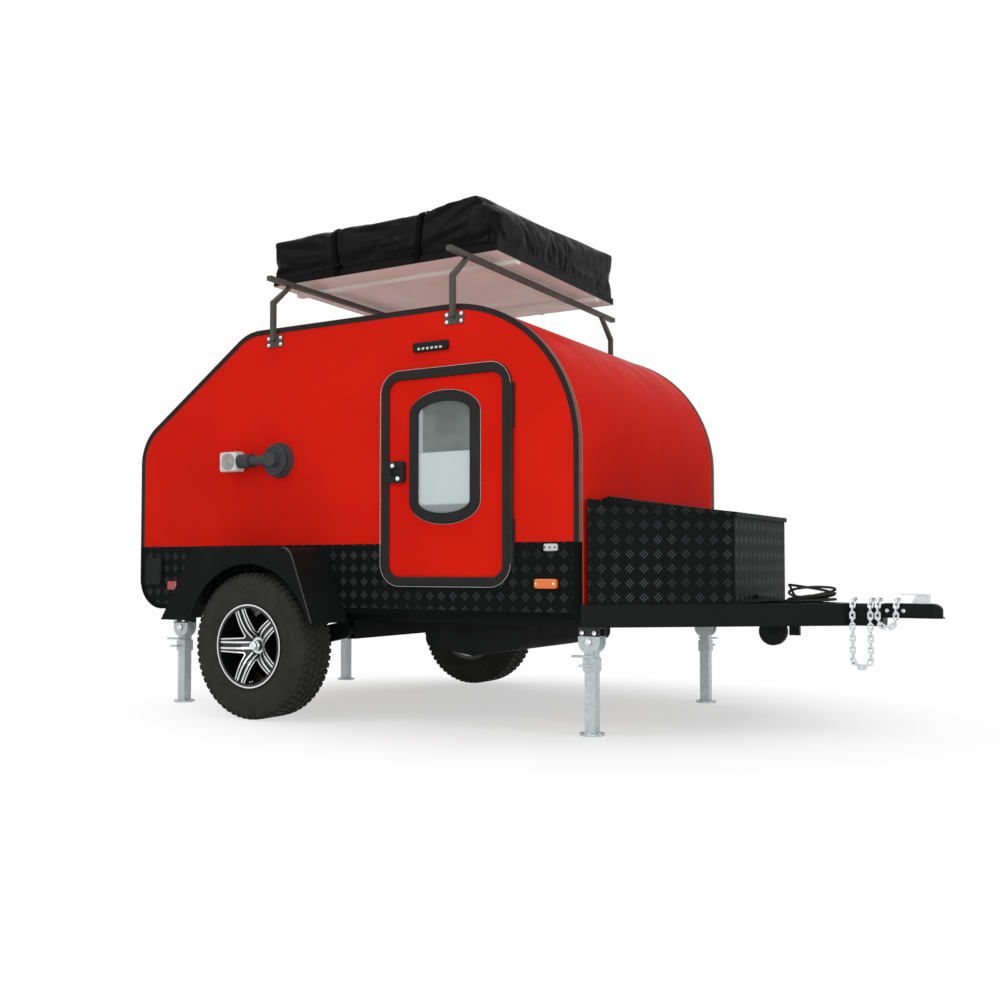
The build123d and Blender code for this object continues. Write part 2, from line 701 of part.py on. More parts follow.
def chain_headings(links):
    """Heading and face normal of each link, from one bolt round to the other."""
    x, y, z = Vector(1, 0, 0), Vector(0, 1, 0), Vector(0, 0, 1)
    run = [(-y, x)]
    run += [(-y * cos(radians(a)) - z * sin(radians(a)), x) for a in OVER_EDGE]
    run += [(-z, y)] * links
    for turn in range(CHAIN_TURNS):
        a = radians(CHAIN_TURN * (turn + 0.5))
        run.append((x * sin(a) - z * cos(a), y))
    run += [(z, y)] * links
    run += [(y * cos(radians(a)) + z * sin(radians(a)), x) for a in reversed(OVER_EDGE)]
    run.append((y, x))
    faced = []
    for number, (heading, flat) in enumerate(run):
        upright = flat.cross(heading) if abs(flat.X) > 0.5 else flat
        faced.append((heading, upright if number % 2 == 0 else heading.cross(upright)))
    return faced


with BuildPart() as link:
    with BuildSketch() as link_face:
        Rectangle(LINK_LENGTH, LINK_WIDTH)
        chamfer(link_face.vertices(), length=LINK_WIDTH * 0.3)
        Rectangle(LINK_LENGTH - 2 * LINK_WIRE, LINK_WIDTH - 2 * LINK_WIRE, mode=Mode.SUBTRACT)
    extrude(amount=LINK_WIRE / 2, both=True)



def chain_walk(drop):
    """Middle, heading and normal of each link, from an origin at the first; no two links cut each other."""
    faced = chain_headings(round(drop / LINK_PITCH))
    middles = [Vector(0, 0, 0)]
    for (heading, normal), (after, _) in zip(faced, faced[1:]):
        bend = radians(heading.get_angle(after))
        overlap = LINK_WIRE / 2 * (1 + cos(bend) + sin(bend)) + SEAT_GAP
        axis = heading.cross(after)
        in_bend = abs(normal.dot(axis)) > axis.length / 2
        if in_bend:
            step = heading * (LINK_BAR - overlap) + after * LINK_BAR
        else:
            step = heading * LINK_BAR + after * (LINK_BAR - overlap)
        middles.append(middles[-1] + step)
    return [(middle, *face) for middle, face in zip(middles, faced)]


link_places = []
CHAIN_PINS = []
PIN_REACH = LINK_LENGTH / 2 - LINK_WIRE - CHAIN_PIN_RADIUS - SEAT_GAP
for chain_run, chain_drop in zip(CHAIN_RUNS, CHAIN_DROPS):
    walk = chain_walk(chain_drop)
    CHAIN_START_Y = -CHAIN_SIDE - min(middle.Y for middle, heading, normal in walk)
    start = Vector(FRONT_X + chain_run, CHAIN_START_Y, CHAIN_TOP_Z)
    CHAIN_PINS += [start.X, start.X + walk[-1][0].X]
    for middle, heading, normal in walk:
        link_places.append(Plane(origin=start + middle, x_dir=heading, z_dir=normal).location)
with BuildPart() as safety_chains:
    with Locations(*link_places):
        add(link.part)
pieces["safety_chains"] = safety_chains

# Nose block with the stub that the coupler slides over, and the chain bolts on top
CHAIN_PIN_Y = CHAIN_START_Y + PIN_REACH


def chain_bolt(x, base_z):
    """Pin through an end link, with a flat head over it."""
    head_z = CHAIN_TOP_Z + LINK_WIRE / 2 + SEAT_GAP
    with BuildPart() as bolt:
        with BuildSketch(Plane.XY.offset(base_z)):
            with Locations((x, CHAIN_PIN_Y)):
                Circle(CHAIN_PIN_RADIUS)
        extrude(amount=head_z - base_z)
        with BuildSketch(Plane.XY.offset(head_z)):
            with Locations((x, CHAIN_PIN_Y)):
                Circle(2 * CHAIN_PIN_RADIUS)
        extrude(amount=CHAIN_PIN_RADIUS)
    return bolt.part


STUB_HALF = COUPLER_HALF - COUPLER_WALL - COUPLER_FIT
STUB_HEIGHT = COUPLER_HEIGHT - 2 * COUPLER_WALL - COUPLER_FIT
with BuildPart() as drawbar_nose:
    with BuildSketch(Plane.YZ.offset(NOSE_REAR_X)):
        with Locations((0, FRAME_BOTTOM_Z + FRAME_HEIGHT / 2)):
            RectangleRounded(2 * NOSE_HALF, FRAME_HEIGHT, NOSE_CORNER)
    extrude(amount=NOSE_LENGTH)
    with BuildSketch(Plane.YZ.offset(NOSE_REAR_X)):
        with Locations((0, FRAME_BOTTOM_Z + FRAME_HEIGHT / 2)):
            Rectangle(2 * (NOSE_HALF - NOSE_CORNER / 2), FRAME_HEIGHT - NOSE_CORNER)
    extrude(amount=NOSE_LENGTH - NOSE_CORNER, mode=Mode.SUBTRACT)
    with BuildSketch(Plane.YZ.offset(NOSE_FRONT_X)):
        with Locations((0, COUPLER_Z + COUPLER_WALL)):
            Rectangle(2 * STUB_HALF, STUB_HEIGHT, align=(Align.CENTER, Align.MIN))
    extrude(amount=STUB_LENGTH)
    for pin_x in CHAIN_PINS:
        if pin_x < NOSE_FRONT_X:
            add(chain_bolt(pin_x, FRAME_TOP_Z))
pieces["drawbar_nose"] = drawbar_nose

# Coupler: a pressed channel over the stub, with a bottom flange and a rounded nose over the ball cup
NOSE_IN = BALL_SETBACK - COUPLER_FLANGE


def coupler_plan(half, nose):
    """Plan of the channel that ends in a round nose about the ball."""
    with BuildSketch() as plan:
        with BuildLine():
            Polyline(
                (NOSE_FRONT_X, -half),
                (BALL_X - BALL_SETBACK, -half),
                (BALL_X, -nose),
                (BALL_X, nose),
                (BALL_X - BALL_SETBACK, half),
                (NOSE_FRONT_X, half),
                close=True,
            )
        make_face()
        with Locations((BALL_X, 0)):
            Circle(nose)
    return plan.sketch_local


with BuildPart() as coupler:
    with BuildSketch(Plane.XY.offset(COUPLER_Z)):
        add(coupler_plan(COUPLER_HALF, NOSE_IN))
    extrude(amount=COUPLER_HEIGHT)
    with BuildSketch(Plane.XZ):
        with BuildLine():
            FilletPolyline(
                (NOSE_FRONT_X, COUPLER_Z),
                (TIP_X, COUPLER_Z),
                (TIP_X, COUPLER_TOP_Z),
                (NOSE_FRONT_X, COUPLER_TOP_Z),
                radius=(0, 0, COUPLER_HEIGHT * 0.8, 0),
                close=True,
            )
        make_face()
    extrude(amount=2 * COUPLER_HALF, both=True, mode=Mode.INTERSECT)
    fillet(coupler.edges().filter_by(Axis.X).group_by(Axis.Z)[-1], radius=COUPLER_WALL)
    with BuildSketch(Plane.XY.offset(COUPLER_Z)):
        add(coupler_plan(COUPLER_HALF + COUPLER_FLANGE, BALL_SETBACK))
    extrude(amount=COUPLER_WALL)
    with BuildSketch(Plane.XY.offset(COUPLER_Z)):
        with Locations((NOSE_FRONT_X, 0)):
            Rectangle(
                STUB_LENGTH + COUPLER_WALL, 2 * (COUPLER_HALF - COUPLER_WALL), align=(Align.MIN, Align.CENTER)
            )
    extrude(amount=COUPLER_HEIGHT - COUPLER_WALL, mode=Mode.SUBTRACT)
    with BuildSketch(Plane.XY.offset(COUPLER_Z)):
        with Locations((BALL_X, 0)):
            Circle(BALL_RADIUS + COUPLER_FIT)
    extrude(amount=CUP_DEPTH, mode=Mode.SUBTRACT)
    for pin_x in CHAIN_PINS:
        if pin_x > NOSE_FRONT_X:
            add(chain_bolt(pin_x, COUPLER_TOP_Z))
pieces["coupler"] = coupler

# Coupler lever: a casting on the channel that carries a flat handle
LEVER_X = BALL_X - LEVER_SETBACK
with BuildPart() as coupler_lever:
    with BuildSketch(Plane.XZ):
        with BuildLine():
            Polyline(
                (LEVER_X, COUPLER_TOP_Z),
                (LEVER_X, COUPLER_TOP_Z + LEVER_RISE),
                (LEVER_X - LEVER_LENGTH / 2, COUPLER_TOP_Z + LEVER_RISE),
                (LEVER_X - LEVER_LENGTH * 0.65, COUPLER_TOP_Z),
                close=True,
            )
        make_face()
    extrude(amount=LEVER_WIDTH / 2, both=True)
    with BuildSketch(Plane.XY.offset(COUPLER_TOP_Z + LEVER_RISE)):
        with Locations((LEVER_X, 0)):
            RectangleRounded(LEVER_LENGTH, 2 * LEVER_WIDTH, LEVER_WIDTH / 3, align=(Align.MAX, Align.CENTER))
    extrude(amount=COUPLER_WALL)
pieces["coupler_lever"] = coupler_lever

# Jockey wheel: fixed cheeks on the nose, a swinging arm with a fork, and the wheel
PIVOT_X = NOSE_REAR_X - JOCKEY_PIVOT_SETBACK
SLEEVE_HALF = JOCKEY_TUBE_RADIUS + 2
CHEEK_IN = SLEEVE_HALF + HINGE_PLAY
FORK_IN = JOCKEY_WHEEL_WIDTH / 2 + 2
WHEEL_X = PIVOT_X - JOCKEY_REACH
WHEEL_Z = JOCKEY_PIVOT_Z - JOCKEY_DROP
with BuildPart() as jockey_bracket:
    for side in (-1, 1):
        with BuildSketch(Plane.XZ.offset(-side * (CHEEK_IN + JOCKEY_PLATE / 2))):
            with Locations((NOSE_REAR_X, JOCKEY_PIVOT_Z)):
                Rectangle(
                    JOCKEY_PIVOT_SETBACK, 2 * JOCKEY_TUBE_RADIUS, align=(Align.MAX, Align.CENTER)
                )
            with Locations((PIVOT_X, JOCKEY_PIVOT_Z)):
                Circle(JOCKEY_TUBE_RADIUS)
        extrude(amount=JOCKEY_PLATE / 2, both=True)
    with BuildSketch(Plane.YZ.offset(NOSE_REAR_X)):
        with Locations((0, FRAME_BOTTOM_Z + FRAME_HEIGHT / 2)):
            RectangleRounded(
                2 * NOSE_HALF - JOCKEY_PLATE, FRAME_HEIGHT - JOCKEY_PLATE, NOSE_CORNER - JOCKEY_PLATE / 2
            )
    extrude(amount=-JOCKEY_PLATE)
    with BuildSketch(Plane.XZ):
        with Locations((PIVOT_X, JOCKEY_PIVOT_Z)):
            Circle(JOCKEY_AXLE_RADIUS)
    extrude(amount=CHEEK_IN + JOCKEY_PLATE, both=True)
pieces["jockey_bracket"] = jockey_bracket

with BuildPart() as jockey_arm:
    with BuildSketch(Plane.XZ):
        with Locations((PIVOT_X, JOCKEY_PIVOT_Z)):
            Circle(JOCKEY_TUBE_RADIUS)
    extrude(amount=SLEEVE_HALF, both=True)
    neck_x = WHEEL_X + JOCKEY_WHEEL_RADIUS + JOCKEY_TUBE_RADIUS / 2
    with BuildSketch(Plane.YZ.offset(neck_x)):
        with Locations((0, JOCKEY_PIVOT_Z)):
            Circle(JOCKEY_TUBE_RADIUS - 3)
    extrude(amount=PIVOT_X - neck_x)
    with BuildSketch(Plane.XZ):
        with Locations((neck_x, JOCKEY_PIVOT_Z)):
            Rectangle(JOCKEY_TUBE_RADIUS, 2 * JOCKEY_TUBE_RADIUS - 4, align=(Align.MIN, Align.CENTER))
    extrude(amount=FORK_IN + JOCKEY_PLATE, both=True)
    with BuildSketch(Plane.XZ):
        with Locations((neck_x, JOCKEY_LUG_Z)):
            Rectangle(JOCKEY_LUG, JOCKEY_PIVOT_Z - JOCKEY_LUG_Z, align=(Align.MIN, Align.MIN))
    extrude(amount=JOCKEY_TUBE_RADIUS / 2, both=True)
    for side in (-1, 1):
        with BuildSketch(Plane.XZ.offset(-side * (FORK_IN + JOCKEY_PLATE / 2))):
            with BuildLine():
                Polyline(
                    (neck_x + JOCKEY_TUBE_RADIUS, JOCKEY_PIVOT_Z + JOCKEY_TUBE_RADIUS - 2),
                    (neck_x, JOCKEY_PIVOT_Z + JOCKEY_TUBE_RADIUS - 2),
                    (WHEEL_X - 2 * JOCKEY_AXLE_RADIUS, WHEEL_Z + JOCKEY_AXLE_RADIUS),
                    (WHEEL_X - JOCKEY_AXLE_RADIUS, WHEEL_Z - 2 * JOCKEY_AXLE_RADIUS),
                    (WHEEL_X + 2 * JOCKEY_AXLE_RADIUS, WHEEL_Z - 2 * JOCKEY_AXLE_RADIUS),
                    (neck_x + JOCKEY_TUBE_RADIUS, JOCKEY_PIVOT_Z - JOCKEY_TUBE_RADIUS + 2),
                    close=True,
                )
            make_face()
        extrude(amount=JOCKEY_PLATE / 2, both=True)
    with BuildSketch(Plane.XZ):
        with Locations((WHEEL_X, WHEEL_Z)):
            Circle(JOCKEY_AXLE_RADIUS)
    extrude(amount=FORK_IN + JOCKEY_PLATE, both=True)
    with BuildSketch(Plane.XZ):
        with Locations((PIVOT_X, JOCKEY_PIVOT_Z)):
            Circle(JOCKEY_AXLE_RADIUS + SPINDLE_FIT)
    extrude(amount=SLEEVE_HALF, both=True, mode=Mode.SUBTRACT)
pieces["jockey_arm"] = jockey_arm

with BuildPart() as jockey_wheel:
    with BuildSketch(Plane.XZ):
        with Locations((WHEEL_X, WHEEL_Z)):
            Circle(JOCKEY_WHEEL_RADIUS)
    extrude(amount=JOCKEY_WHEEL_WIDTH / 2, both=True)
    chamfer(jockey_wheel.edges().filter_by(GeomType.CIRCLE), length=JOCKEY_WHEEL_WIDTH / 6)
    with BuildSketch(Plane.XZ):
        with Locations((WHEEL_X, WHEEL_Z)):
            Circle(JOCKEY_AXLE_RADIUS + SPINDLE_FIT)
    extrude(amount=JOCKEY_WHEEL_WIDTH, both=True, mode=Mode.SUBTRACT)
pieces["jockey_wheel"] = jockey_wheel

# Torsion axle: hollow beam under the rails, trailing arms and spindles
BEAM_X = AXLE_X + ARM_LEAD
BEAM_Z = FRAME_BOTTOM_Z - BEAM / 2
with BuildPart() as axle_beam:
    with BuildSketch(Plane.XZ):
        with Locations((BEAM_X, BEAM_Z)):
            Rectangle(BEAM, BEAM)
            Rectangle(BEAM - 2 * BEAM_WALL, BEAM - 2 * BEAM_WALL, mode=Mode.SUBTRACT)
    extrude(amount=BEAM_HALF, both=True)
pieces["axle_beam"] = axle_beam

with BuildPart() as arm_right:
    with BuildSketch(side_plane(BEAM_HALF)):
        with Locations((BEAM_X, BEAM_Z), (AXLE_X, TYRE_RADIUS)):
            Circle(ARM_END_RADIUS)
        make_hull()
    extrude(amount=ARM_PLATE)
    with BuildSketch(side_plane(BEAM_HALF + ARM_PLATE)):
        with Locations((AXLE_X, TYRE_RADIUS)):
            Circle(SPINDLE_RADIUS)
    extrude(amount=WHEEL_Y - BEAM_HALF - ARM_PLATE)
pieces["trailing_arms"] = both_sides(arm_right)

# Wheels, drawn about their own axis with the outer face upwards
HALF_TYRE = TYRE_WIDTH / 2
LIP = HALF_TYRE - 5
SEAT = LIP - 11
with BuildPart() as tyre:
    with BuildSketch(Plane.XZ):
        with BuildLine():
            Polyline(
                (BEAD_RADIUS + SEAT_GAP, SEAT - 5),
                (BEAD_RADIUS + (TYRE_RADIUS - BEAD_RADIUS) * 0.56, HALF_TYRE),
                (TYRE_RADIUS, TYRE_TREAD / 2),
                (TYRE_RADIUS, -TYRE_TREAD / 2),
                (BEAD_RADIUS + (TYRE_RADIUS - BEAD_RADIUS) * 0.56, -HALF_TYRE),
                (BEAD_RADIUS + SEAT_GAP, 5 - SEAT),
                (BEAD_RADIUS + SEAT_GAP, 5 - SEAT + TYRE_WALL),
                (TYRE_RADIUS - TYRE_WALL, TYRE_WALL - TYRE_TREAD / 2),
                (TYRE_RADIUS - TYRE_WALL, TYRE_TREAD / 2 - TYRE_WALL),
                (BEAD_RADIUS + SEAT_GAP, SEAT - 5 - TYRE_WALL),
                close=True,
            )
        make_face()
    revolve(axis=Axis.Z)

SPOKE_END = BEAD_RADIUS - RIM_SHEET / 2
HALF_PITCH = 180 / SPOKES


def opening_plan(grow):
    """Opening between two spokes, along the X axis, grown all round."""
    angle = radians(HALF_PITCH) - asin(SPOKE_HALF / SPOKE_END)
    reach = 1.3
    far_x = OPENING_FOOT + reach * (SPOKE_END * cos(angle) - OPENING_FOOT)
    far_y = reach * SPOKE_END * sin(angle)
    with BuildSketch() as plan:
        with BuildLine():
            Polyline((OPENING_FOOT, 0), (far_x, far_y), (far_x, -far_y), close=True)
        make_face()
        fillet(plan.vertices().sort_by(Axis.X)[0], OPENING_RADIUS)
        if grow:
            offset(amount=grow)
    return plan.sketch_local


def dish(drop):
    """Ring that spokes are cut from: hollow towards the hub, lowered by the drop."""
    face = [(HUB_BORE, HUB_DEPTH), *DISH, (SPOKE_END, DISH_EDGE)]
    with BuildPart() as ring:
        with BuildSketch(Plane.XZ):
            with BuildLine():
                Polyline(
                    *[(radius, LIP - depth - drop) for radius, depth in face],
                    (SPOKE_END, LIP - DISH_EDGE - SPOKE_DEPTH),
                    (HUB_BORE, LIP - HUB_DEPTH - SPOKE_DEPTH),
                    close=True,
                )
            make_face()
        revolve(axis=Axis.Z)
    return ring.part


with BuildPart() as ribs:
    with BuildSketch(Plane.XY.offset(-HALF_TYRE)):
        with PolarLocations(0, SPOKES, start_angle=180):
            with Locations(*[((HUB_BORE + SPOKE_END) / 2, side * RIB_OFFSET) for side in (-1, 1)]):
                Rectangle(SPOKE_END - HUB_BORE, RIB)
        with PolarLocations(0, SPOKES, start_angle=180 + HALF_PITCH):
            add(opening_plan(EDGE_RIB))
        with PolarLocations(0, SPOKES, start_angle=180 + HALF_PITCH):
            add(opening_plan(0), mode=Mode.SUBTRACT)
    extrude(amount=TYRE_WIDTH)
    add(dish(0), mode=Mode.INTERSECT)
with BuildPart() as webs:
    with BuildSketch(Plane.XY.offset(-HALF_TYRE)):
        Circle(SPOKE_END)
        with PolarLocations(0, SPOKES, start_angle=180 + HALF_PITCH):
            add(opening_plan(0), mode=Mode.SUBTRACT)
    extrude(amount=TYRE_WIDTH)
    add(dish(SPOKE_GROOVE), mode=Mode.INTERSECT)

HUB_BACK = BEAM_HALF + ARM_PLATE + HUB_GAP - WHEEL_Y
with BuildPart() as rim:
    with BuildSketch(Plane.XZ):
        with BuildLine():
            Polyline(
                (BEAD_RADIUS, -SEAT),
                (RIM_RING_RADIUS, -SEAT),
                (RIM_RING_RADIUS, -LIP),
                (BEAD_RADIUS - RIM_SHEET, -LIP),
                (BEAD_RADIUS - RIM_SHEET, LIP),
                (RIM_RING_RADIUS, LIP),
                (RIM_RING_RADIUS, SEAT),
                (BEAD_RADIUS, SEAT),
                close=True,
            )
        make_face()
    revolve(axis=Axis.Z)
    add(ribs.part)
    add(webs.part)
    with BuildSketch(Plane.XY.offset(HUB_BACK)):
        Circle(HUB_RADIUS)
    extrude(amount=LIP - HUB_DEPTH - HUB_BACK)
    with BuildSketch(Plane.XY.offset(HUB_BACK)):
        Circle(2 * HUB_RADIUS)
    extrude(amount=HUB_RADIUS)
    with BuildSketch(Plane.XY.offset(LIP - HUB_DEPTH)):
        Circle(CAP_RADIUS)
    extrude(amount=CAP_HEIGHT, taper=2)
    with BuildSketch(Plane.XY.offset(LIP - HUB_DEPTH)):
        Circle(CAP_RADIUS + CAP_COLLAR)
    extrude(amount=CAP_HEIGHT / 2, taper=6)
    with BuildSketch(Plane.XY.offset(HUB_BACK)):
        Circle(SPINDLE_RADIUS + SPINDLE_FIT)
    extrude(amount=SPINDLE_FIT - HUB_BACK, mode=Mode.SUBTRACT)

WHEEL_PLACE = Location((AXLE_X, -WHEEL_Y, TYRE_RADIUS), (90, 0, 0))
with BuildPart() as tyre_right:
    with Locations(WHEEL_PLACE):
        add(tyre.part)
with BuildPart() as rim_right:
    with Locations(WHEEL_PLACE):
        add(rim.part)
pieces["tyre_right"] = tyre_right
pieces["tyre_left"] = mirrored(tyre_right)
pieces["rim_right"] = rim_right
pieces["rim_left"] = mirrored(rim_right)


# Fenders: a folded sheet hood with an arch cut in its outer face
def fender_outline(bottom_z):
    """Hood in the side view, with its legs carried down to the given height."""
    stretch = (FENDER_TOP_Z - bottom_z) / (FENDER_TOP_Z - FENDER_BOTTOM_Z)
    rear = FENDER_TOP_REAR_RUN + (FENDER_REAR_RUN - FENDER_TOP_REAR_RUN) * stretch
    front = FENDER_TOP_FRONT_RUN + (FENDER_FRONT_RUN - FENDER_TOP_FRONT_RUN) * stretch
    with BuildSketch() as hood:
        with BuildLine():
            FilletPolyline(
                (AXLE_X - rear, bottom_z),
                (AXLE_X - FENDER_TOP_REAR_RUN, FENDER_TOP_Z),
                (AXLE_X + FENDER_TOP_FRONT_RUN, FENDER_TOP_Z),
                (AXLE_X + front, bottom_z),
                radius=(0, FENDER_CORNER, FENDER_CORNER, 0),
                close=True,
            )
        make_face()
    return hood.sketch_local


with BuildPart() as fender_right:
    with BuildSketch(side_plane(SKIRT_FACE)):
        add(fender_outline(FENDER_BOTTOM_Z))
    extrude(amount=FENDER_OUTER_HALF - SKIRT_FACE)
    with BuildSketch(side_plane(SKIRT_FACE)):
        add(fender_outline(FENDER_BOTTOM_Z - 20 * FENDER_SHEET))
        offset(amount=-FENDER_SHEET, kind=Kind.INTERSECTION)
    extrude(amount=FENDER_OUTER_HALF - FENDER_SHEET - SKIRT_FACE, mode=Mode.SUBTRACT)
    with BuildSketch(side_plane(FENDER_OUTER_HALF - 2 * FENDER_SHEET)):
        with Locations((AXLE_X, TYRE_RADIUS)):
            Circle(FENDER_ARCH_RADIUS)
    extrude(amount=3 * FENDER_SHEET, mode=Mode.SUBTRACT)
pieces["fenders"] = both_sides(fender_right)


def fitting(x, z, size, face, radius):
    """Rounded block on a side face: place, height, (length, height, depth)."""
    with BuildPart() as block:
        with BuildSketch(side_plane(face)):
            add(rounded_rect(x, z, size[0], size[1], radius))
        extrude(amount=size[2])
        chamfer(block.faces().sort_by(Axis.Y)[0].edges(), length=size[2] / 4)
    return block


awning = fitting(AXLE_X + AWNING_FROM_AXLE, AWNING_Z, AWNING_LIGHT, HALF, 12)
marker = fitting(AXLE_X + MARKER_FROM_AXLE, MARKER_Z, MARKER, SKIRT_FACE, 10)
step_lamp = fitting(AXLE_X + STEP_LAMP_FROM_AXLE, STEP_LAMP_Z, STEP_LAMP, SKIRT_FACE, 8)
reflector = fitting(REAR_X + REFLECTOR_FROM_REAR, REFLECTOR_Z, REFLECTOR, SKIRT_FACE, 6)
inlet = fitting(REAR_X + INLET_FROM_REAR, INLET_Z, INLET, SKIRT_FACE, 14)
pieces["amber_markers"] = both_sides(marker)
with BuildPart() as wall_covers:
    add(awning.part)
    mirror(awning.part, about=Plane.XZ)
    add(inlet.part)
pieces["wall_covers"] = wall_covers

# Red reflectors on the sides and tail lamps on the rear panel
with BuildPart() as tail_lamp:
    with BuildSketch(Plane.YZ.offset(REAR_X)):
        with Locations((-TAIL_LAMP_Y, TAIL_LAMP_Z)):
            RectangleRounded(TAIL_LAMP[0], TAIL_LAMP[1], 14)
    extrude(amount=-TAIL_LAMP_DEPTH)
with BuildPart() as red_lamps:
    for lamp in (reflector, tail_lamp):
        add(lamp.part)
        mirror(lamp.part, about=Plane.XZ)
pieces["red_lamps"] = red_lamps

# Swivel lamp on the right wall: round base, knuckle, arm, clear head
LAMP_X = HATCH_X + LAMP_FROM_HATCH
LAMP_OUT = HALF + LAMP_BASE + LAMP_ARM_RADIUS * 0.7
HEAD_X = LAMP_X - LAMP_BASE_RADIUS - LAMP_ARM_LENGTH
with BuildPart() as side_lamp:
    with BuildSketch(side_plane(HALF)):
        with Locations((LAMP_X, LAMP_Z)):
            Circle(LAMP_BASE_RADIUS)
    extrude(amount=LAMP_BASE, taper=12)
    with BuildSketch(side_plane(HALF)):
        with Locations((LAMP_X, LAMP_Z)):
            Circle(LAMP_ARM_RADIUS)
    extrude(amount=LAMP_OUT + LAMP_ARM_RADIUS * 0.8 - HALF)
    with BuildSketch(Plane.YZ.offset(HEAD_X)):
        with Locations((-LAMP_OUT, LAMP_Z)):
            Circle(LAMP_ARM_RADIUS * 0.72)
    extrude(amount=LAMP_X - HEAD_X)
    with BuildSketch(Plane.YZ.offset(HEAD_X)):
        with Locations((-LAMP_OUT, LAMP_Z)):
            Circle(LAMP_ARM_RADIUS)
    extrude(amount=LAMP_ARM_LENGTH * 0.6)
pieces["side_lamp"] = side_lamp

with BuildPart() as clear_lenses:
    with BuildSketch(Plane.YZ.offset(HEAD_X)):
        with Locations((-LAMP_OUT, LAMP_Z)):
            RectangleRounded(LAMP_HEAD[2], LAMP_HEAD[1], 16)
    extrude(amount=-LAMP_HEAD[0])
    add(step_lamp.part)
    mirror(step_lamp.part, about=Plane.XZ)
pieces["clear_lenses"] = clear_lenses

# Rack posts with foot plates, crossbars
PLATE_TOP_Z = ROOF_Z - POST_PLATE_DROP
POST_IN = HALF + POST_PLATE
with BuildPart() as posts_right:
    for post_x in POSTS_X:
        with BuildSketch(side_plane(HALF)):
            with Locations((post_x, PLATE_TOP_Z)):
                Rectangle(POST_PLATE_WIDTH, POST_PLATE_HEIGHT, align=(Align.CENTER, Align.MAX))
        extrude(amount=POST_PLATE)
        with BuildSketch(Plane.YZ.offset(post_x)):
            with BuildLine():
                Polyline(
                    (-POST_IN, PLATE_TOP_Z - POST_LAP),
                    (-POST_IN - POST, PLATE_TOP_Z - POST_LAP),
                    (-POST_IN - POST, POST_BEND_Z + POST / 2),
                    (-POST_TOP_HALF - POST / 2, BAR_Z),
                    (-POST_TOP_HALF + POST / 2, BAR_Z),
                    (-POST_IN, POST_BEND_Z),
                    close=True,
                )
            make_face()
        extrude(amount=POST / 2, both=True)
pieces["rack_posts"] = both_sides(posts_right)

with BuildPart() as rack_crossbars:
    with BuildSketch(Plane.XY.offset(BAR_Z)):
        with Locations(*[(post_x, 0) for post_x in POSTS_X]):
            Rectangle(BAR_WIDTH, 2 * BAR_HALF)
    extrude(amount=BAR_HEIGHT)
pieces["rack_crossbars"] = rack_crossbars

# Tent: base panel on two channels, and the folded tent under its cover
with BuildPart() as tent_base:
    with BuildSketch(Plane.XY.offset(BAR_TOP_Z)):
        with Locations((TENT_X, -TENT_CHANNEL_Y), (TENT_X, TENT_CHANNEL_Y)):
            Rectangle(TENT_LENGTH, TENT_CHANNEL[0], align=(Align.MIN, Align.CENTER))
    extrude(amount=TENT_CHANNEL[1])
    with BuildSketch(Plane.XY.offset(TENT_Z)):
        with Locations((TENT_X, 0)):
            Rectangle(TENT_LENGTH, 2 * TENT_HALF, align=(Align.MIN, Align.CENTER))
    extrude(amount=TENT_BASE)
pieces["tent_base"] = tent_base

with BuildPart() as tent_cover:
    with BuildSketch(Plane.XZ):
        with BuildLine():
            FilletPolyline(
                (TENT_X, COVER_Z),
                (TENT_X, COVER_Z + TENT_COVER_REAR),
                (TENT_X + TENT_FLAT_LENGTH, COVER_Z + TENT_COVER_REAR),
                (TENT_X + TENT_LENGTH - TENT_RIDGE_SETBACK, COVER_Z + TENT_COVER_RIDGE),
                (TENT_X + TENT_LENGTH, COVER_Z + TENT_COVER_FRONT),
                (TENT_X + TENT_LENGTH, COVER_Z),
                radius=(0, TENT_EDGE_RADIUS, TENT_EDGE_RADIUS, TENT_EDGE_RADIUS, TENT_EDGE_RADIUS, 0),
                close=True,
            )
        make_face()
    extrude(amount=TENT_HALF, both=True)
pieces["tent_cover"] = tent_cover

# Toolbox: sheet box on the drawbar, its top sloping down to the front
BOX_SLOPE = (BOX_REAR_Z - BOX_FRONT_Z) / BOX_LENGTH
BOX_FLARE = (BOX_REAR_HALF - BOX_FRONT_HALF) / BOX_LENGTH


def box_plan(grow, rear_x):
    """Plan of the box, grown all round and cut off behind rear_x."""
    with BuildSketch() as plan:
        with BuildLine():
            Polyline(
                (BOX_REAR_X, -BOX_REAR_HALF),
                (BOX_FRONT_X, -BOX_FRONT_HALF),
                (BOX_FRONT_X, BOX_FRONT_HALF),
                (BOX_REAR_X, BOX_REAR_HALF),
                close=True,
            )
        make_face()
        if grow:
            offset(amount=grow, kind=Kind.INTERSECTION)
        with Locations((rear_x, 0)):
            Rectangle(2 * BOX_LENGTH, 4 * BOX_REAR_HALF, align=(Align.MIN, Align.CENTER), mode=Mode.INTERSECT)
    return plan.sketch_local


def box_rim(x):
    """Height of the sloping rim."""
    return BOX_REAR_Z - BOX_SLOPE * (x - BOX_REAR_X)


def slope_band(low, high, rear_x, front_x, half):
    """Slab between two heights over the rim."""
    with BuildPart() as band:
        with BuildSketch(Plane.XZ):
            with BuildLine():
                Polyline(
                    (rear_x, box_rim(rear_x) + low),
                    (front_x, box_rim(front_x) + low),
                    (front_x, box_rim(front_x) + high),
                    (rear_x, box_rim(rear_x) + high),
                    close=True,
                )
            make_face()
        extrude(amount=half, both=True)
    return band.part


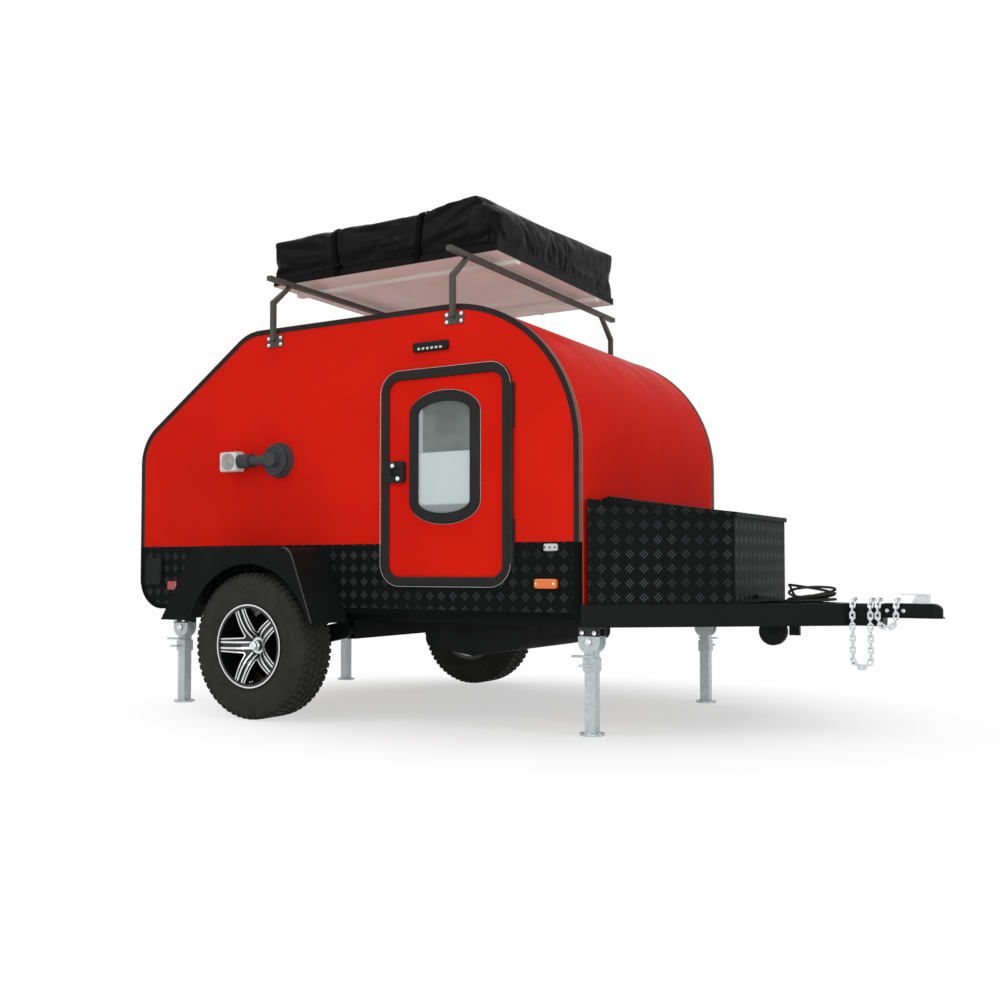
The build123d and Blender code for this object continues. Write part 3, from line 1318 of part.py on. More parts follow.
STRIP_X = BOX_REAR_X + BOX_STRIP
LID_X = STRIP_X + MOVING_GAP
LID_PIN_X = STRIP_X + MOVING_GAP / 2
LID_TOP = MOVING_GAP + LID
LID_PIN_Z = box_rim(LID_PIN_X) + LID_TOP + LID_HINGE_RADIUS
LID_KNUCKLE_HALF = BOX_REAR_HALF - BOX_FLARE * BOX_STRIP - 6 * BOX_SHEET
LID_ROOT = LID_KNUCKLE_HALF / 4
with BuildPart() as box_strip:
    with BuildSketch(Plane.XY.offset(FRAME_TOP_Z)):
        add(box_plan(0, BOX_REAR_X))
    extrude(amount=BOX_REAR_Z - FRAME_TOP_Z)
    add(slope_band(-BOX_SHEET, 0, BOX_REAR_X, STRIP_X, BOX_REAR_HALF), mode=Mode.INTERSECT)

with BuildPart() as toolbox:
    with BuildSketch(Plane.XY.offset(FRAME_TOP_Z)):
        add(box_plan(0, BOX_REAR_X))
    extrude(amount=BOX_REAR_Z - FRAME_TOP_Z)
    with BuildSketch(Plane.XY.offset(FRAME_TOP_Z + BOX_SHEET)):
        add(box_plan(-BOX_SHEET, BOX_REAR_X))
    extrude(amount=BOX_REAR_Z, mode=Mode.SUBTRACT)
    add(
        slope_band(0, BOX_REAR_Z, BOX_REAR_X, BOX_FRONT_X + BOX_SHEET, 2 * BOX_REAR_HALF),
        mode=Mode.SUBTRACT,
    )
    add(box_strip.part)
    for side in (-1, 1):
        with BuildSketch(Plane.XZ.offset(-side * (LID_KNUCKLE_HALF - LID_ROOT / 2))):
            with Locations((LID_PIN_X, LID_PIN_Z)):
                Circle(LID_HINGE_RADIUS)
            with BuildLine():
                Polyline(
                    (LID_PIN_X, LID_PIN_Z + LID_HINGE_RADIUS / 2),
                    (STRIP_X - HINGE_LEAF, box_rim(STRIP_X - HINGE_LEAF) + LID),
                    (STRIP_X - HINGE_LEAF, box_rim(STRIP_X - HINGE_LEAF)),
                    (STRIP_X, box_rim(STRIP_X)),
                    (LID_PIN_X, LID_PIN_Z - LID_HINGE_RADIUS / 2),
                    close=True,
                )
            make_face()
        extrude(amount=LID_ROOT / 2, both=True)
    with BuildSketch(Plane.YZ.offset(BOX_FRONT_X)):
        with Locations((GLAND_Y, FRAME_TOP_Z + GLAND_RISE)):
            Circle(GLAND_RADIUS)
    extrude(amount=GLAND_LENGTH)
pieces["toolbox"] = toolbox

LID_GROW = MOVING_GAP + LID
with BuildPart() as lid_hollow:
    with BuildSketch(Plane.XY.offset(BOX_FRONT_Z - 2 * LID_SKIRT)):
        add(box_plan(MOVING_GAP, STRIP_X))
    extrude(amount=BOX_REAR_Z)
    add(
        slope_band(-2 * LID_SKIRT, MOVING_GAP, STRIP_X, BOX_FRONT_X + MOVING_GAP, 2 * BOX_REAR_HALF),
        mode=Mode.INTERSECT,
    )
with BuildPart() as toolbox_lid:
    with BuildSketch(Plane.XY.offset(BOX_FRONT_Z - 2 * LID_SKIRT)):
        add(box_plan(LID_GROW, LID_X))
    extrude(amount=BOX_REAR_Z)
    add(
        slope_band(-LID_SKIRT, LID_TOP, LID_X, BOX_FRONT_X + LID_GROW, 2 * BOX_REAR_HALF),
        mode=Mode.INTERSECT,
    )
    add(lid_hollow.part, mode=Mode.SUBTRACT)
    with BuildSketch(Plane.XZ):
        with Locations((LID_PIN_X, LID_PIN_Z)):
            Circle(LID_HINGE_RADIUS)
        with BuildLine():
            Polyline(
                (LID_PIN_X, LID_PIN_Z + LID_HINGE_RADIUS / 2),
                (LID_X + HINGE_LEAF, box_rim(LID_X + HINGE_LEAF) + LID_TOP + LID),
                (LID_X + HINGE_LEAF, box_rim(LID_X + HINGE_LEAF) + LID_TOP),
                (LID_X, box_rim(LID_X) + LID_TOP),
                (LID_PIN_X, LID_PIN_Z - LID_HINGE_RADIUS / 2),
                close=True,
            )
        make_face()
    extrude(amount=LID_KNUCKLE_HALF - LID_ROOT - HINGE_PLAY, both=True)
pieces["toolbox_lid"] = toolbox_lid

# Drop legs: bracket plates and cheeks on the rails, and one swinging leg in each
CHEEK_GAP = LEG_TUBE / 2 + LEG_SIDE_PLAY
LEG_FRONT_X = AXLE_X + LEG_FRONT_FROM_AXLE
LEG_REAR_X = REAR_X + LEG_FROM_REAR
LEGS = [  # name, place, side
    ("leg_front_right", LEG_FRONT_X, -1),
    ("leg_front_left", LEG_FRONT_X, 1),
    ("leg_rear_right", LEG_REAR_X, -1),
    ("leg_rear_left", LEG_REAR_X, 1),
]
with BuildPart() as bracket:
    with BuildSketch(Plane.XY.offset(FRAME_BOTTOM_Z)):
        Rectangle(2 * LEG_CHEEK_HALF, 2 * (CHEEK_GAP + LEG_CHEEK))
    extrude(amount=-LEG_PLATE)
    for side in (-1, 1):
        with BuildSketch(Plane.XZ.offset(-side * (CHEEK_GAP + LEG_CHEEK / 2))):
            with Locations((0, LEG_PIVOT_Z)):
                Circle(LEG_CHEEK_HALF)
                Rectangle(
                    2 * LEG_CHEEK_HALF, FRAME_BOTTOM_Z - LEG_PIVOT_Z, align=(Align.CENTER, Align.MIN)
                )
        extrude(amount=LEG_CHEEK / 2, both=True)
    with BuildSketch(Plane.XZ):
        with Locations((0, LEG_PIVOT_Z)):
            Circle(LEG_PIN_RADIUS)
    extrude(amount=CHEEK_GAP + LEG_CHEEK + LEG_PIN_RADIUS, both=True)
with BuildPart() as leg_brackets:
    with Locations(*[(leg_x, side * LEG_Y, 0) for name, leg_x, side in LEGS]):
        add(bracket.part)
pieces["leg_brackets"] = leg_brackets

with BuildPart() as leg:
    with BuildSketch(Plane.XY.offset(LEG_FOOT)):
        Rectangle(LEG_TUBE, LEG_TUBE)
    extrude(amount=LEG_PIVOT_Z + LEG_TOP - LEG_FOOT)
    with BuildSketch(Plane.XY.offset(LEG_COLLAR_Z)):
        Rectangle(LEG_COLLAR, LEG_COLLAR)
    extrude(amount=LEG_COLLAR_HEIGHT)
    with BuildSketch(Plane.XY.offset(LEG_FOOT)):
        Rectangle(LEG_TUBE - 8, LEG_TUBE - 8)
    extrude(amount=LEG_PIVOT_Z + LEG_TOP, mode=Mode.SUBTRACT)
    with BuildSketch():
        Circle(LEG_FOOT_RADIUS)
    extrude(amount=LEG_FOOT)
    chamfer(leg.faces().sort_by(Axis.Z)[0].edges(), length=LEG_FOOT / 3)
    pedal_z = LEG_COLLAR_Z + LEG_COLLAR_HEIGHT / 2
    with BuildSketch(Plane.XZ.offset(LEG_COLLAR / 2 - 2)):
        with Locations((0, pedal_z)):
            Circle(LEG_PEDAL_RADIUS)
    extrude(amount=LEG_PEDAL_REACH)
    with BuildSketch(Plane.YZ.offset(-LEG_TUBE / 2)):
        with Locations((-LEG_COLLAR / 2 - LEG_PEDAL_REACH, pedal_z)):
            Circle(LEG_PEDAL_RADIUS)
    extrude(amount=LEG_TUBE)
    with BuildSketch(Plane.XZ):
        with Locations((0, LEG_PIVOT_Z)):
            Circle(LEG_PIN_RADIUS + LEG_PIN_FIT)
    extrude(amount=LEG_TUBE, both=True, mode=Mode.SUBTRACT)
for name, leg_x, side in LEGS:
    with BuildPart() as placed_leg:
        if side < 0:
            with Locations((leg_x, side * LEG_Y, 0)):
                add(leg.part)
        else:
            with Locations((leg_x, side * LEG_Y, 0)):
                add(mirrored(leg).part)
    pieces[name] = placed_leg

# Water tank under the floor, with a shallow V bottom
with BuildPart() as water_tank:
    tank_rear = AXLE_X + TANK_FROM_AXLE
    with BuildSketch(Plane.XZ):
        with BuildLine():
            FilletPolyline(
                (tank_rear, FRAME_BOTTOM_Z),
                (tank_rear, FRAME_BOTTOM_Z - TANK_DEPTH),
                (tank_rear + TANK_LENGTH / 2, FRAME_BOTTOM_Z - TANK_DEPTH - TANK_DIP),
                (tank_rear + TANK_LENGTH, FRAME_BOTTOM_Z - TANK_DEPTH),
                (tank_rear + TANK_LENGTH, FRAME_BOTTOM_Z),
                radius=(0, TANK_RADIUS, TANK_RADIUS, TANK_RADIUS, 0),
                close=True,
            )
        make_face()
    extrude(amount=TANK_HALF, both=True)
pieces["water_tank"] = water_tank

# Tow cable: a gland on the box, a short lead, the loose coil on the drawbar, and its plug
COIL_X = AXLE_X + COIL_FROM_AXLE
COIL_Z = FRAME_TOP_Z + SEAT_GAP
LEAD_X = BOX_FRONT_X + GLAND_LENGTH
with BuildPart() as cable_coil:
    with BuildSketch(Plane.XY.offset(COIL_Z)):
        with Locations((COIL_X, 0)):
            SlotOverall(COIL_WIDTH, COIL_LENGTH, rotation=90)
            inside = (COIL_WIDTH - 2 * COIL_BAND, COIL_LENGTH - 2 * COIL_BAND)
            SlotOverall(*inside, rotation=90, mode=Mode.SUBTRACT)
    extrude(amount=COIL_HEIGHT)
pieces["cable_coil"] = cable_coil

LEAD_POINTS = [  # along X from the gland, Y, height over the drawbar
    (0, GLAND_Y, GLAND_RISE),
    (30, GLAND_Y, GLAND_RISE),
    (69, -58, 14),
    (COIL_X - COIL_LENGTH / 2 - LEAD_X, -58, 14),
]
lead_route = [Vector(LEAD_X + run, y, FRAME_TOP_Z + rise) for run, y, rise in LEAD_POINTS]
lead_radii = []
for before, here, after in zip(lead_route, lead_route[1:], lead_route[2:]):
    turn = (here - before).get_angle(after - here)
    shorter = min((here - before).length, (after - here).length)
    lead_radii.append(0.45 * shorter * cos(radians(turn / 2)) / sin(radians(turn / 2)))
print("lead radii", [round(radius, 1) for radius in lead_radii])
with BuildPart() as cable_lead:
    with BuildLine() as lead_line:
        FilletPolyline(*lead_route, radius=lead_radii)
    with BuildSketch(Plane(origin=lead_line.line @ 0, z_dir=lead_line.line % 0)):
        Circle(CABLE_RADIUS)
    sweep()
print("lead volume", round(cable_lead.part.volume), "length", round(lead_line.wire().length))
pieces["cable_lead"] = cable_lead

with BuildPart() as cable_plug:
    plug_y = COIL_WIDTH / 2 + PLUG_RADIUS + 5 * SEAT_GAP
    with BuildSketch(Plane.YZ.offset(COIL_X - PLUG_LENGTH * 0.69)):
        with Locations((plug_y, COIL_Z + PLUG_RADIUS)):
            Circle(PLUG_RADIUS)
    extrude(amount=PLUG_LENGTH)
pieces["cable_plug"] = cable_plug

for name, piece in pieces.items():
    piece.part.label = name
    export_step(piece.part, f"parts/{name}.step")
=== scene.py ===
"""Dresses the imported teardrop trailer: paint, rubber, cloth, cable, fastenings and the studio round it."""

from math import cos, pi, radians, sin, sqrt

import bpy
import numpy as np
from mathutils import Matrix, Vector


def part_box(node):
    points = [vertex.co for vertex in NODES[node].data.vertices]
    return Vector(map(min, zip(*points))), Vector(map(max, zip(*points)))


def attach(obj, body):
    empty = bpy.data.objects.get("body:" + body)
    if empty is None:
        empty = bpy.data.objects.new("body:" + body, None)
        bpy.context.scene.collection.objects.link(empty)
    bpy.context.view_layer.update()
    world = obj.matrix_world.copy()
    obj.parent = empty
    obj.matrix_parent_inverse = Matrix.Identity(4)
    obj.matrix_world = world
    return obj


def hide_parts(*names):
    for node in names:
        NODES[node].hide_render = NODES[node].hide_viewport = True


bl_info = {
    "name": "Teardrop trailer dressing",
    "version": (1, 0, 0),
    "blender": (4, 5, 0),
    "location": "View3D > Sidebar > Trailer",
    "description": "Finishes, soft parts and studio for a teardrop camping trailer",
    "category": "Object",
}

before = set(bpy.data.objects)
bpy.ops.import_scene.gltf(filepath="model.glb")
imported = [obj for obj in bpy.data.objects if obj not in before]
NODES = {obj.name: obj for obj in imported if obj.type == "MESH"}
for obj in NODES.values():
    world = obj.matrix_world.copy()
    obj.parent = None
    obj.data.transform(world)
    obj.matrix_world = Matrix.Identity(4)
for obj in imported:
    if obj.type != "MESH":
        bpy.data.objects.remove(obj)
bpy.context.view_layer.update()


def shade(red, green, blue):
    """Colour of a screen value in Blender's linear light."""
    def linear(value):
        value /= 255
        return value / 12.92 if value <= 0.04045 else ((value + 0.055) / 1.055) ** 2.4
    return (linear(red), linear(green), linear(blue), 1.0)


def colour_prop(name, description, value):
    return bpy.props.FloatVectorProperty(
        name=name, description=description, subtype="COLOR", size=4, min=0, max=1, default=value)


def length_prop(name, description, value):
    return bpy.props.FloatProperty(name=name, description=description, unit="LENGTH", default=value)


def power_prop(name, description, value):
    return bpy.props.FloatProperty(name=name, description=description, subtype="POWER", default=value)


class TrailerFinishes(bpy.types.PropertyGroup):
    """Colours of the paints, metals and fabrics."""
    paint: colour_prop("Body paint", "Gloss paint on walls, roof, hatch and doors", shade(203, 30, 18))
    plate: colour_prop("Tread plate", "Black coat on the skirts and the toolbox", shade(17, 19, 19))
    satin: colour_prop("Satin black", "Coat on the drawbar, fenders and rack", shade(16, 18, 18))
    rack: colour_prop("Rack grey", "Coat on the roof rack", shade(78, 78, 74))
    trim: colour_prop("Edge trim", "Rubber-backed aluminium edge of the body", shade(46, 41, 40))
    zinc: colour_prop("Zinc", "Galvanised legs and brackets", shade(188, 198, 198))
    rubber: colour_prop("Rubber", "Tyres and seals", shade(40, 41, 39))
    bright: colour_prop("Bright metal", "Machined and polished edges", shade(226, 227, 228))
    tent: colour_prop("Tent cover", "Coated fabric of the folded tent", shade(5, 5, 5))
    tent_base: colour_prop("Tent base", "Sheet under the tent", shade(210, 214, 206))
    amber: colour_prop("Amber", "Marker lamps", shade(228, 112, 22))
    red_lens: colour_prop("Red lens", "Reflectors and tail lamps", shade(205, 40, 55))
    wood: colour_prop("Plywood", "Cabin and galley linings", shade(196, 160, 112))


class TrailerStage(bpy.types.PropertyGroup):
    """Camera and light of the studio."""
    place: bpy.props.FloatVectorProperty(
        name="Camera place", description="Lens position", subtype="TRANSLATION", size=3,
        default=(2.877, -5.262, 0.740))
    pitch: bpy.props.FloatProperty(
        name="Pitch", description="Upward tilt", subtype="ANGLE", default=radians(2.13))
    heading: bpy.props.FloatProperty(
        name="Heading", description="Turn from straight across the trailer", subtype="ANGLE",
        default=radians(30.46))
    lens: bpy.props.FloatProperty(
        name="Lens", description="Focal length in millimetres", subtype="DISTANCE_CAMERA", default=40.77)
    rise: bpy.props.FloatProperty(name="Rise", description="Vertical lens shift", default=0.0255)
    ambient: bpy.props.FloatProperty(name="Ambient", description="Light from all round", default=0.42)
    key: power_prop("Key", "Softbox on the near side", 60)
    top: power_prop("Top", "Overhead softbox", 140)
    front: power_prop("Front", "Softbox ahead of the drawbar", 90)
    low: power_prop("Low", "Low softbox beside the camera", 300)
    rear: power_prop("Rear", "Small softbox behind the wheel", 55)
    fill: power_prop("Fill", "Small softbox between the roof and the tent", 2.0)


class TowCable(bpy.types.PropertyGroup):
    """Plug cable that lies coiled on the drawbar."""
    diameter: length_prop("Diameter", "Outside of the sheath", 0.012)
    turns: bpy.props.IntProperty(name="Turns", description="Turns in the coil", default=4)
    half_length: length_prop("Coil half length", "Middle of the coil to its widest turn lengthways", 0.112)
    half_width: length_prop("Coil half width", "Middle of the coil to its widest turn across", 0.160)
    length: length_prop("Length", "Cable from the gland to the plug", 3.5)


class SoftParts(bpy.types.PropertyGroup):
    """Folded tent under its cover, and the bed."""
    voxel: length_prop("Mesh size", "Size of the cloth's mesh before the sewing", 0.013)
    rear: length_prop("Rear height", "Folded tent above its base at the rear", 0.220)
    ridge: length_prop("Ridge height", "Folded tent above its base at the ridge", 0.292)
    sag: length_prop("Sag", "Ridge lower on the right than on the left", 0.022)
    front: length_prop("Front height", "Folded tent above its base at the front, on the right", 0.160)
    far_front: length_prop("Far front height", "Folded tent above its base at the front, on the left", 0.262)
    flat: length_prop("Flat length", "Level part of the top", 0.9)
    nose: length_prop("Nose length", "Ridge to the front", 0.13)
    webbing: length_prop("Webbing", "Width of a strap", 0.028)


class WheelParts(bpy.types.PropertyGroup):
    """Tread of the tyres."""
    pitches: bpy.props.IntProperty(name="Tread pitches", description="Tread blocks round a tyre", default=62)
    groove: length_prop("Tread depth", "Depth of the tread grooves", 0.0085)


# Selecting and shaping

def only(obj):
    """Selects one object and makes it the active one."""
    bpy.ops.object.select_all(action="DESELECT")
    obj.select_set(True)
    bpy.context.view_layer.objects.active = obj


def fresh(name):
    """Takes the object that an add operator just made, with its place put into its mesh."""
    obj = bpy.context.object
    obj.name = obj.data.name = name
    only(obj)
    bpy.ops.object.transform_apply(location=True, rotation=True, scale=True)
    return obj


def modify(obj, kind, **settings):
    """Adds a modifier and applies it."""
    only(obj)
    modifier = obj.modifiers.new(kind.title(), kind)
    for key, value in settings.items():
        setattr(modifier, key, value)
    bpy.ops.object.modifier_apply(modifier=modifier.name)


def put(obj, body, material):
    """Gives a finished piece its material and its body."""
    obj.data.materials.clear()
    obj.data.materials.append(material)
    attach(obj, body)


def edit(obj):
    """Opens one object for editing with all of it selected."""
    only(obj)
    bpy.ops.object.mode_set(mode="EDIT")
    bpy.ops.mesh.select_mode(type="VERT")
    bpy.ops.mesh.select_all(action="SELECT")


def pick(obj, wanted):
    """Opens one object for editing with the wanted faces selected."""
    edit(obj)
    bpy.ops.mesh.select_mode(type="FACE")
    bpy.ops.mesh.select_all(action="DESELECT")
    bpy.ops.object.mode_set(mode="OBJECT")
    for face in obj.data.polygons:
        face.select = bool(wanted(face))
    bpy.ops.object.mode_set(mode="EDIT")


def close(obj, angle=None):
    """Ends editing: doubles merged, normals outward, smooth faces."""
    bpy.ops.mesh.select_all(action="SELECT")
    bpy.ops.mesh.remove_doubles(threshold=1e-6)
    bpy.ops.mesh.normals_make_consistent(inside=False)
    bpy.ops.object.mode_set(mode="OBJECT")
    if angle is None:
        only(obj)
        bpy.ops.object.shade_smooth()
    else:
        crisp(obj, angle)


def crisp(obj, angle=40):
    """Smooth faces, with the edges above the angle kept sharp."""
    only(obj)
    bpy.ops.object.shade_smooth_by_angle(angle=radians(angle))


def block(name, low, high, round_off=0.0, segments=2):
    """Box between two corners with rounded edges."""
    low, high = Vector(low), Vector(high)
    bpy.ops.object.select_all(action="DESELECT")
    bpy.ops.mesh.primitive_cube_add(size=1, location=(low + high) / 2, scale=high - low)
    obj = fresh(name)
    if round_off:
        modify(obj, "BEVEL", width=round_off, segments=segments, limit_method="NONE")
    crisp(obj)
    return obj


def joined(name, parts):
    """Makes one object of several."""
    bpy.ops.object.select_all(action="DESELECT")
    for part in parts:
        part.select_set(True)
    bpy.context.view_layer.objects.active = parts[0]
    bpy.ops.object.join()
    parts[0].name = parts[0].data.name = name
    return parts[0]


def lathe(name, centre, stations, steps=96, axis="Y"):
    """Turned form: a ring is drawn out from station to station, each a radius and a place along the axis."""
    way = {"X": Vector((1, 0, 0)), "Y": Vector((0, 1, 0)), "Z": Vector((0, 0, 1))}[axis]
    turn = {"X": (0, pi / 2, 0), "Y": (pi / 2, 0, 0), "Z": (0, 0, 0)}[axis]
    centre = Vector(centre)
    bpy.ops.object.select_all(action="DESELECT")
    radius, along = stations[0]
    bpy.ops.mesh.primitive_circle_add(
        vertices=steps, radius=radius, location=centre + way * along, rotation=turn)
    obj = fresh(name)
    edit(obj)
    for (radius, along), (wider, further) in zip(stations, stations[1:]):
        bpy.ops.mesh.extrude_region_move(TRANSFORM_OT_translate={"value": way * (further - along)})
        share = wider / radius
        bpy.ops.transform.resize(value=[1.0 if part else share for part in way], center_override=centre)
    close(obj, 32)
    return obj


def many(name, model, places):
    """Copies of one small model, each turned so that its Z points along the given way, as one object."""
    copies = []
    for place, way in places:
        mesh = model.data.copy()
        turn = Vector(way).to_track_quat("Z", "Y").to_matrix().to_4x4()
        mesh.transform(Matrix.Translation(Vector(place)) @ turn)
        copy = bpy.data.objects.new(name, mesh)
        bpy.context.collection.objects.link(copy)
        copies.append(copy)
    bpy.data.objects.remove(model)
    return joined(name, copies)


def bolt(size, height, washer):
    """Hexagon head with a chamfer on a washer, standing on the floor at the origin."""
    lift = height * 0.18
    disc = lathe("washer", (0, 0, 0), [
        (0.0005, 0), (washer, 0), (washer, lift), (size, height * 0.2)], 16, "Z")
    bpy.ops.object.select_all(action="DESELECT")
    bpy.ops.mesh.primitive_cylinder_add(
        vertices=6, radius=size, depth=height, location=(0, 0, height / 2 + lift))
    head = fresh("head")
    pick(head, lambda face: face.normal.z > 0.9)
    bpy.ops.mesh.inset(thickness=size * 0.22, depth=height * 0.16)
    close(head, 30)
    return joined("bolt", [disc, head])


def round_run(name, points, radius, kind, corners):
    """Curve with a round section along a run of points, and its spline."""
    curve = bpy.data.curves.new(name, "CURVE")
    curve.dimensions = "3D"
    spline = curve.splines.new(kind)
    spline.points.add(len(points) - 1)
    for point, place in zip(spline.points, points):
        point.co = (*place, 1.0)
    curve.bevel_depth = radius
    curve.bevel_resolution = corners
    curve.use_fill_caps = True
    obj = bpy.data.objects.new(name, curve)
    bpy.context.collection.objects.link(obj)
    return obj, spline


def tube(name, points, radius, closed=False, corners=3):
    """Round edging along a run of points, as a mesh."""
    obj, spline = round_run(name, points, radius, "POLY", corners)
    spline.use_cyclic_u = closed
    only(obj)
    bpy.ops.object.convert(target="MESH")
    obj = bpy.context.object
    bpy.ops.object.shade_smooth()
    return obj


def coordinates(obj):
    """Vertex places of a mesh as rows."""
    flat = np.empty(len(obj.data.vertices) * 3)
    obj.data.vertices.foreach_get("co", flat)
    return flat.reshape(-1, 3)


def reshape(obj, rows):
    obj.data.vertices.foreach_set("co", np.ascontiguousarray(rows).ravel())
    obj.data.update()


def skin(obj, voxel, smooth):
    """Even closed mesh with softened edges."""
    only(obj)
    obj.data.remesh_voxel_size = voxel
    bpy.ops.object.voxel_remesh()
    modify(obj, "SMOOTH", factor=0.5, iterations=smooth)


def fill_out(obj, pressure, growth, cap, hold, frames=18):
    """Cloth under pressure: the skin buckles and swells, and no point moves further than the cap."""
    before = coordinates(obj)
    group = obj.vertex_groups.new(name="hold")
    for index, weight in enumerate(hold):
        if weight > 0:
            group.add([index], float(weight), "REPLACE")
    only(obj)
    cloth = obj.modifiers.new("Cloth", "CLOTH")
    settings = cloth.settings
    settings.quality = 4
    settings.mass = 0.25
    settings.bending_stiffness = 0.3
    settings.use_pressure = True
    settings.uniform_pressure_force = pressure
    settings.shrink_min = -growth
    settings.effector_weights.gravity = 0
    settings.vertex_group_mass = "hold"
    cloth.point_cache.frame_start = 1
    cloth.point_cache.frame_end = frames
    for frame_number in range(1, frames + 1):
        bpy.context.scene.frame_set(frame_number)
    bpy.ops.object.modifier_apply(modifier=cloth.name)
    bpy.context.scene.frame_set(1)
    obj.vertex_groups.clear()
    move = coordinates(obj) - before
    size = np.linalg.norm(move, axis=1, keepdims=True)
    reshape(obj, before + move * np.minimum(1, cap / np.maximum(size, 1e-9)))
    modify(obj, "SUBSURF", levels=1, render_levels=1)
    only(obj)
    bpy.ops.object.shade_smooth()


def bump_at(value, middle, width):
    """Bell of height 1 round a middle."""
    return np.exp(-((value - middle) / width) ** 2)


# Finishes

class Finish:
    """A node material with one principled shader."""

    def __init__(self, name, colour=None, roughness=0.5, **sockets):
        self.material = bpy.data.materials.new(name)
        self.material.use_nodes = True
        self.tree = self.material.node_tree
        self.tree.nodes.clear()
        self.output = self.tree.nodes.new("ShaderNodeOutputMaterial")
        self.shader = self.tree.nodes.new("ShaderNodeBsdfPrincipled")
        self.join(self.shader.outputs["BSDF"], self.output.inputs["Surface"])
        if colour:
            self.shader.inputs["Base Color"].default_value = colour
        self.shader.inputs["Roughness"].default_value = roughness
        for key, value in sockets.items():
            self.shader.inputs[key.replace("_", " ")].default_value = value
        self.place = self.tree.nodes.new("ShaderNodeTexCoord")

    def join(self, source, target):
        self.tree.links.new(source, target)

    def feed(self, socket, source):
        """Links a source or sets a value."""
        if isinstance(source, bpy.types.NodeSocket):
            self.join(source, socket)
        else:
            socket.default_value = source

    def math(self, operation, *values):
        node = self.tree.nodes.new("ShaderNodeMath")
        node.operation = operation
        for socket, value in zip(node.inputs, values):
            self.feed(socket, value)
        return node.outputs[0]

    def mapped(self, scale, source=None):
        node = self.tree.nodes.new("ShaderNodeMapping")
        node.inputs["Scale"].default_value = scale
        self.join(source or self.place.outputs["Object"], node.inputs["Vector"])
        return node.outputs[0]

    def axes(self, source="Object"):
        """X, Y and Z of a coordinate, or of a vector."""
        node = self.tree.nodes.new("ShaderNodeSeparateXYZ")
        self.join(self.place.outputs[source] if isinstance(source, str) else source, node.inputs[0])
        return node.outputs

    def flat(self, u, v):
        """Vector of two values."""
        node = self.tree.nodes.new("ShaderNodeCombineXYZ")
        self.join(u, node.inputs[0])
        self.join(v, node.inputs[1])
        return node.outputs[0]

    def reach(self, vector):
        """Length of a vector."""
        node = self.tree.nodes.new("ShaderNodeVectorMath")
        node.operation = "LENGTH"
        self.join(vector, node.inputs[0])
        return node.outputs["Value"]

    def wave(self, direction, scale):
        node = self.tree.nodes.new("ShaderNodeTexWave")
        node.bands_direction = direction
        node.inputs["Scale"].default_value = scale
        self.join(self.place.outputs["Object"], node.inputs["Vector"])
        return node.outputs["Fac"]

    def noise(self, scale, detail=3, roughness=0.5, source=None, distortion=0):
        node = self.tree.nodes.new("ShaderNodeTexNoise")
        node.inputs["Scale"].default_value = scale
        node.inputs["Detail"].default_value = detail
        node.inputs["Roughness"].default_value = roughness
        node.inputs["Distortion"].default_value = distortion
        self.join(source or self.place.outputs["Object"], node.inputs["Vector"])
        return node.outputs["Fac"]

    def spread(self, value, low, high, new_low, new_high):
        """Maps a range of a value to another range."""
        node = self.tree.nodes.new("ShaderNodeMapRange")
        node.interpolation_type = "SMOOTHSTEP"
        for socket, number in zip(list(node.inputs)[1:5], (low, high, new_low, new_high)):
            socket.default_value = number
        self.join(value, node.inputs["Value"])
        return node.outputs["Result"]

    def mix(self, factor, first, second):
        node = self.tree.nodes.new("ShaderNodeMix")
        node.data_type = "RGBA"
        self.feed(node.inputs["Factor"], factor)
        self.feed(node.inputs[6], first)
        self.feed(node.inputs[7], second)
        return node.outputs[2]

    def paint(self, colour):
        self.feed(self.shader.inputs["Base Color"], colour)

    def gloss(self, value):
        self.feed(self.shader.inputs["Roughness"], value)

    def relief(self, height, depth, strength=1.0):
        """Bump of a height from 0 to 1 that is the given depth in metres."""
        node = self.tree.nodes.new("ShaderNodeBump")
        node.inputs["Strength"].default_value = strength
        node.inputs["Distance"].default_value = depth
        self.join(height, node.inputs["Height"])
        if self.shader.inputs["Normal"].is_linked:
            self.join(self.shader.inputs["Normal"].links[0].from_socket, node.inputs["Normal"])
        self.join(node.outputs["Normal"], self.shader.inputs["Normal"])


def scaled(colour, factor):
    return tuple(min(1.0, part * factor) for part in colour[:3]) + (1.0,)


def gloss_paint(name, colour):
    """Sprayed gloss coat with faint orange peel and thin dust."""
    f = Finish(name, colour, Specular_IOR_Level=0.005)
    cloud = f.noise(2.2, 4)
    f.paint(f.mix(f.spread(cloud, 0.3, 0.7, 0, 1), scaled(colour, 0.94), scaled(colour, 1.05)))
    f.gloss(f.spread(f.noise(7, 5), 0.3, 0.7, 0.3, 0.4))
    f.relief(f.noise(160, 2), 0.0004, 0.25)
    return f.material


def powder_coat(name, colour, roughness=0.45, grain=900, shine=0.08):
    """Stippled powder coat, a little paler where it is rubbed."""
    f = Finish(name, colour, roughness, Specular_IOR_Level=shine)
    wear = f.spread(f.noise(5, 6, 0.6), 0.35, 0.75, 0, 1)
    f.paint(f.mix(wear, scaled(colour, 0.9), scaled(colour, 1.15)))
    f.gloss(f.spread(f.noise(9, 4), 0.3, 0.7, roughness - 0.06, roughness + 0.08))
    f.relief(f.noise(grain, 2), 0.0003, 0.3)
    return f.material


